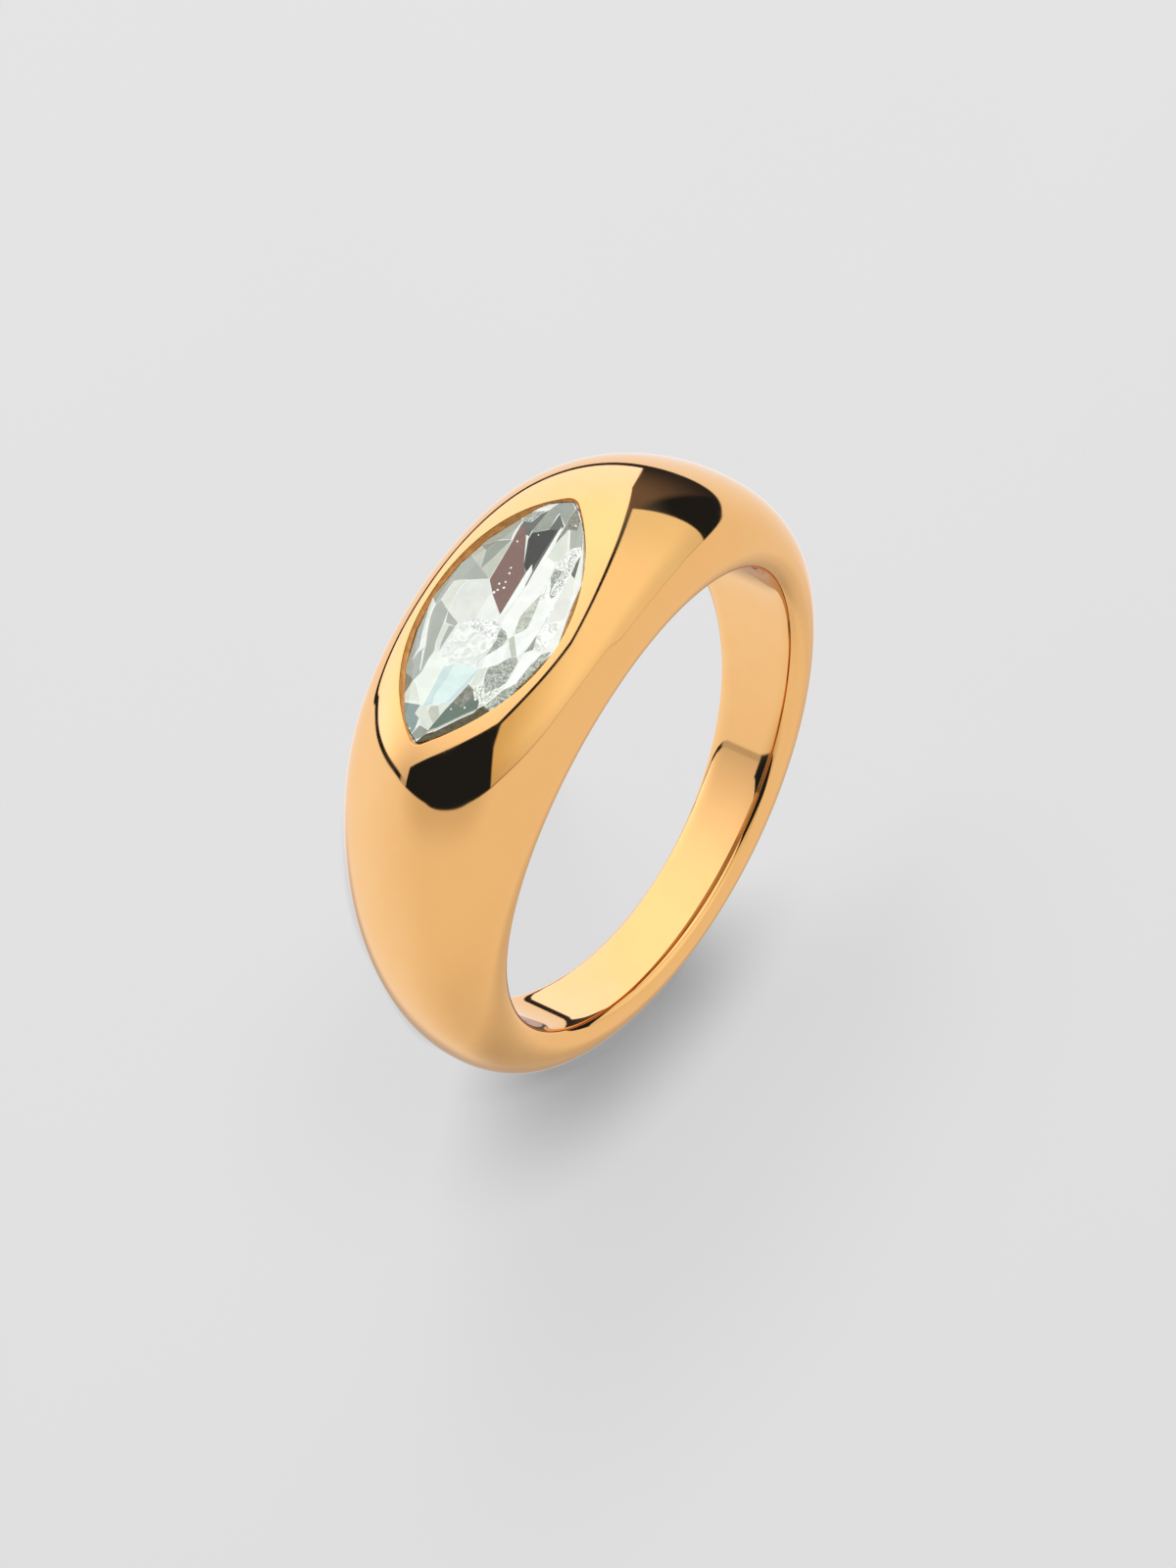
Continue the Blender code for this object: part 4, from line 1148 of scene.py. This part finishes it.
def painted_foil_material(tone, worn):
    """Foil of one tone, which is painted light and shade for what its facet reflects. The more it is worn,
    the more it is wrinkled and mottled.
    """
    spread = FOIL_SPREAD + WORN_SPREAD * worn
    colour = [max(channel - CROWN_GLEAM, 0.0) for channel in PAINTED_TONES[tone]]
    darker = [channel * (1.0 - spread) for channel in colour]
    lighter = [min(channel * (1.0 + spread), 1.0) for channel in colour]
    material, net, shader, noise = mottled_material(
        "foil_%s_%d" % (tone, round(100.0 * worn)), FOIL_GRAIN + WORN_GRAIN * worn, darker, lighter, 0.12,
        detail=5.0, distortion=2.0, Metallic=1.0, Roughness=0.15)
    if worn > 0.0:
        bump = net.node("ShaderNodeBump")
        wrinkles = ("Strength", WRINKLE_STRENGTH * worn), ("Distance", WRINKLE_HEIGHT), ("Height", noise)
        for socket, value in wrinkles:
            net.feed(bump.inputs[socket], value)
        net.feed(shader.inputs["Normal"], bump.outputs[0])
    return material


def floor_material():
    return mottled_material("pale_floor", 60.0, (0.798, 0.798, 0.798), (0.802, 0.802, 0.802), 0.2,
                            Roughness=1.0, Specular_IOR_Level=0.0)[0]


# The ring's soft shadow round the bore's middle: angles in degrees, distances in mm. It starts
# and ends at two angles, and the end turns with the distance
SHADOW = SimpleNamespace(
    start=(18.0, 66.0),
    end=(80.0, 54.0),
    end_turn=-2.0,
    end_turn_reach=22.0,
    outside_bore=(9.9, 10.6),
    falls=((17.8, 11.8, 0.0, 0.44), (38.0, 11.0, 0.0, 0.135), (12.9, 11.9, 0.0, 0.14)),
    halo=(20.0, 12.0, 0.0, 0.055),
    halo_start=(-30.0, 5.0),
    halo_end=(110.0, 60.0),
    foot_radius=(-2.0, 4.0, 9.4, 10.2),
    contact=(0.75, 0.1, 0.0, 0.3),
)
# Share of the floor's light that comes from the key
KEY_SHARE = 0.55


def gel_material():
    """Dims the key where the ring's soft shadow falls, and under the ring itself."""
    material, net, shader = new_material("shadow_gel")
    material.node_tree.nodes.remove(shader)
    place = net.node("ShaderNodeSeparateXYZ")
    net.feed(place.inputs[0], net.node("ShaderNodeTexCoord").outputs["Object"])
    x, y = (net.math("DIVIDE", place.outputs[axis], MM) for axis in "XY")
    distance = net.math("SQRT", net.plus(net.times(x, x), net.times(y, y)))
    angle = net.math("DEGREES", net.math("ARCTAN2", y, x))
    end = net.plus(net.times(net.least(distance, SHADOW.end_turn_reach), SHADOW.end_turn), angle)
    sector = net.times(net.step(angle, *SHADOW.start), net.step(end, *SHADOW.end),
                       net.step(distance, *SHADOW.outside_bore))
    fall = net.plus(*(net.step(distance, *part) for part in SHADOW.falls))
    halo = net.times(net.step(distance, *SHADOW.halo), net.step(angle, *SHADOW.halo_start),
                     net.step(angle, *SHADOW.halo_end))
    from_foot = net.minus(distance, net.step(y, *SHADOW.foot_radius))
    contact = net.step(net.math("ABSOLUTE", from_foot), *SHADOW.contact)
    shade = net.most(net.times(sector, fall), halo, contact)
    clear = net.math("SUBTRACT", 1.0, net.math("DIVIDE", shade, KEY_SHARE), clamp=True)
    gel = net.node("ShaderNodeBsdfTransparent")
    colour = net.node("ShaderNodeCombineColor")
    for socket in colour.inputs:
        net.feed(socket, clear)
    net.feed(gel.inputs["Color"], colour.outputs[0])
    net.feed(material.node_tree.nodes["Material Output"].inputs["Surface"], gel.outputs[0])
    return material


# The floor, the key light and its gel
DISC_SIDES = 96
FLOOR_RADIUS = 6.0
GEL_RADIUS = 40.0 * MM
GEL_HEIGHT = 0.05 * MM
KEY_SIZE = 0.4
KEY_POWER = 12.0
KEY_PLACE = Vector((-0.6, -0.6, 1.0))


def disc(name, radius, material):
    """A flat disc of the stage, which reflections and the stone don't show."""
    mesh = bpy.data.meshes.new(name)
    shape = bmesh.new()
    bmesh.ops.create_circle(shape, cap_ends=True, segments=DISC_SIDES, radius=radius)
    shape.to_mesh(mesh)
    shape.free()
    mesh.materials.append(material)
    made = bpy.data.objects.new(name, mesh)
    bpy.context.scene.collection.objects.link(made)
    made.visible_glossy = False
    made.visible_transmission = False
    return made


def set_stage():
    """The floor, the key light, and a gel that only the key's light passes through."""
    disc("floor", FLOOR_RADIUS, floor_material())
    gel = disc("shadow_gel", GEL_RADIUS, gel_material())
    gel.location = (0.0, bore["pos_m"][1], GEL_HEIGHT)
    gel.visible_camera = False
    gel.visible_diffuse = False
    key = bpy.data.lights.new("soft_key", "AREA")
    key.shape = "DISK"
    key.size = KEY_SIZE
    key.energy = KEY_POWER
    lamp = bpy.data.objects.new("soft_key", key)
    bpy.context.scene.collection.objects.link(lamp)
    turn = KEY_PLACE.to_track_quat("Z", "Y").to_matrix().to_4x4()
    lamp.matrix_world = Matrix.Translation(KEY_PLACE) @ turn
    lamp.visible_glossy = False
    lamp.visible_transmission = False


# Camera, as the photograph has it
CAMERA_FROM_BORE = Vector((106.3838 * MM, -314.2390 * MM, 260.3172 * MM))
CAMERA_PLACE = Vector(bore["pos_m"]) + CAMERA_FROM_BORE
IMAGE_RIGHT = Vector((-0.527310, 0.430005, 0.732830))
IMAGE_DOWN = Vector((0.811671, 0.509981, 0.284797))
IMAGE_INTO = Vector((-0.251265, 0.744993, -0.617941))
SENSOR_HEIGHT_MM = 36.0
LENS_MM = 283.01
CLIP_START = 0.01
CLIP_END = 20.0


def set_camera():
    data = bpy.data.cameras.new("camera")
    data.sensor_fit = "VERTICAL"
    data.sensor_height = SENSOR_HEIGHT_MM
    data.lens = LENS_MM
    data.clip_start = CLIP_START
    data.clip_end = CLIP_END
    camera = bpy.data.objects.new("camera", data)
    bpy.context.scene.collection.objects.link(camera)
    axes = (IMAGE_RIGHT, -IMAGE_DOWN, -IMAGE_INTO)
    turn = Matrix([axis.normalized() for axis in axes]).transposed().to_4x4()
    camera.matrix_world = Matrix.Translation(CAMERA_PLACE) @ turn
    bpy.context.scene.camera = camera


add_piece("gold_casting", casting_mesh(), "ring_body", "gold", gold_material(), seat_material())
add_piece("marquise_crystal", stone_mesh(), "marquise_stone", "stone",
          crystal_material(), backing_material(), girdle_material())
# The foil's tones are painted light and shade
tones = sorted({(facet.tone, facet.worn) for facet in MOSAIC} | {BARE_FOIL, (GLINT_TONE, 0.0)})
add_piece("painted_foil_facets", mosaic_mesh(tones), "marquise_stone", "stone",
          *(painted_foil_material(*tone) for tone in tones))
set_world()
set_stage()
set_camera()
bpy.context.scene.view_settings.view_transform = "Standard"
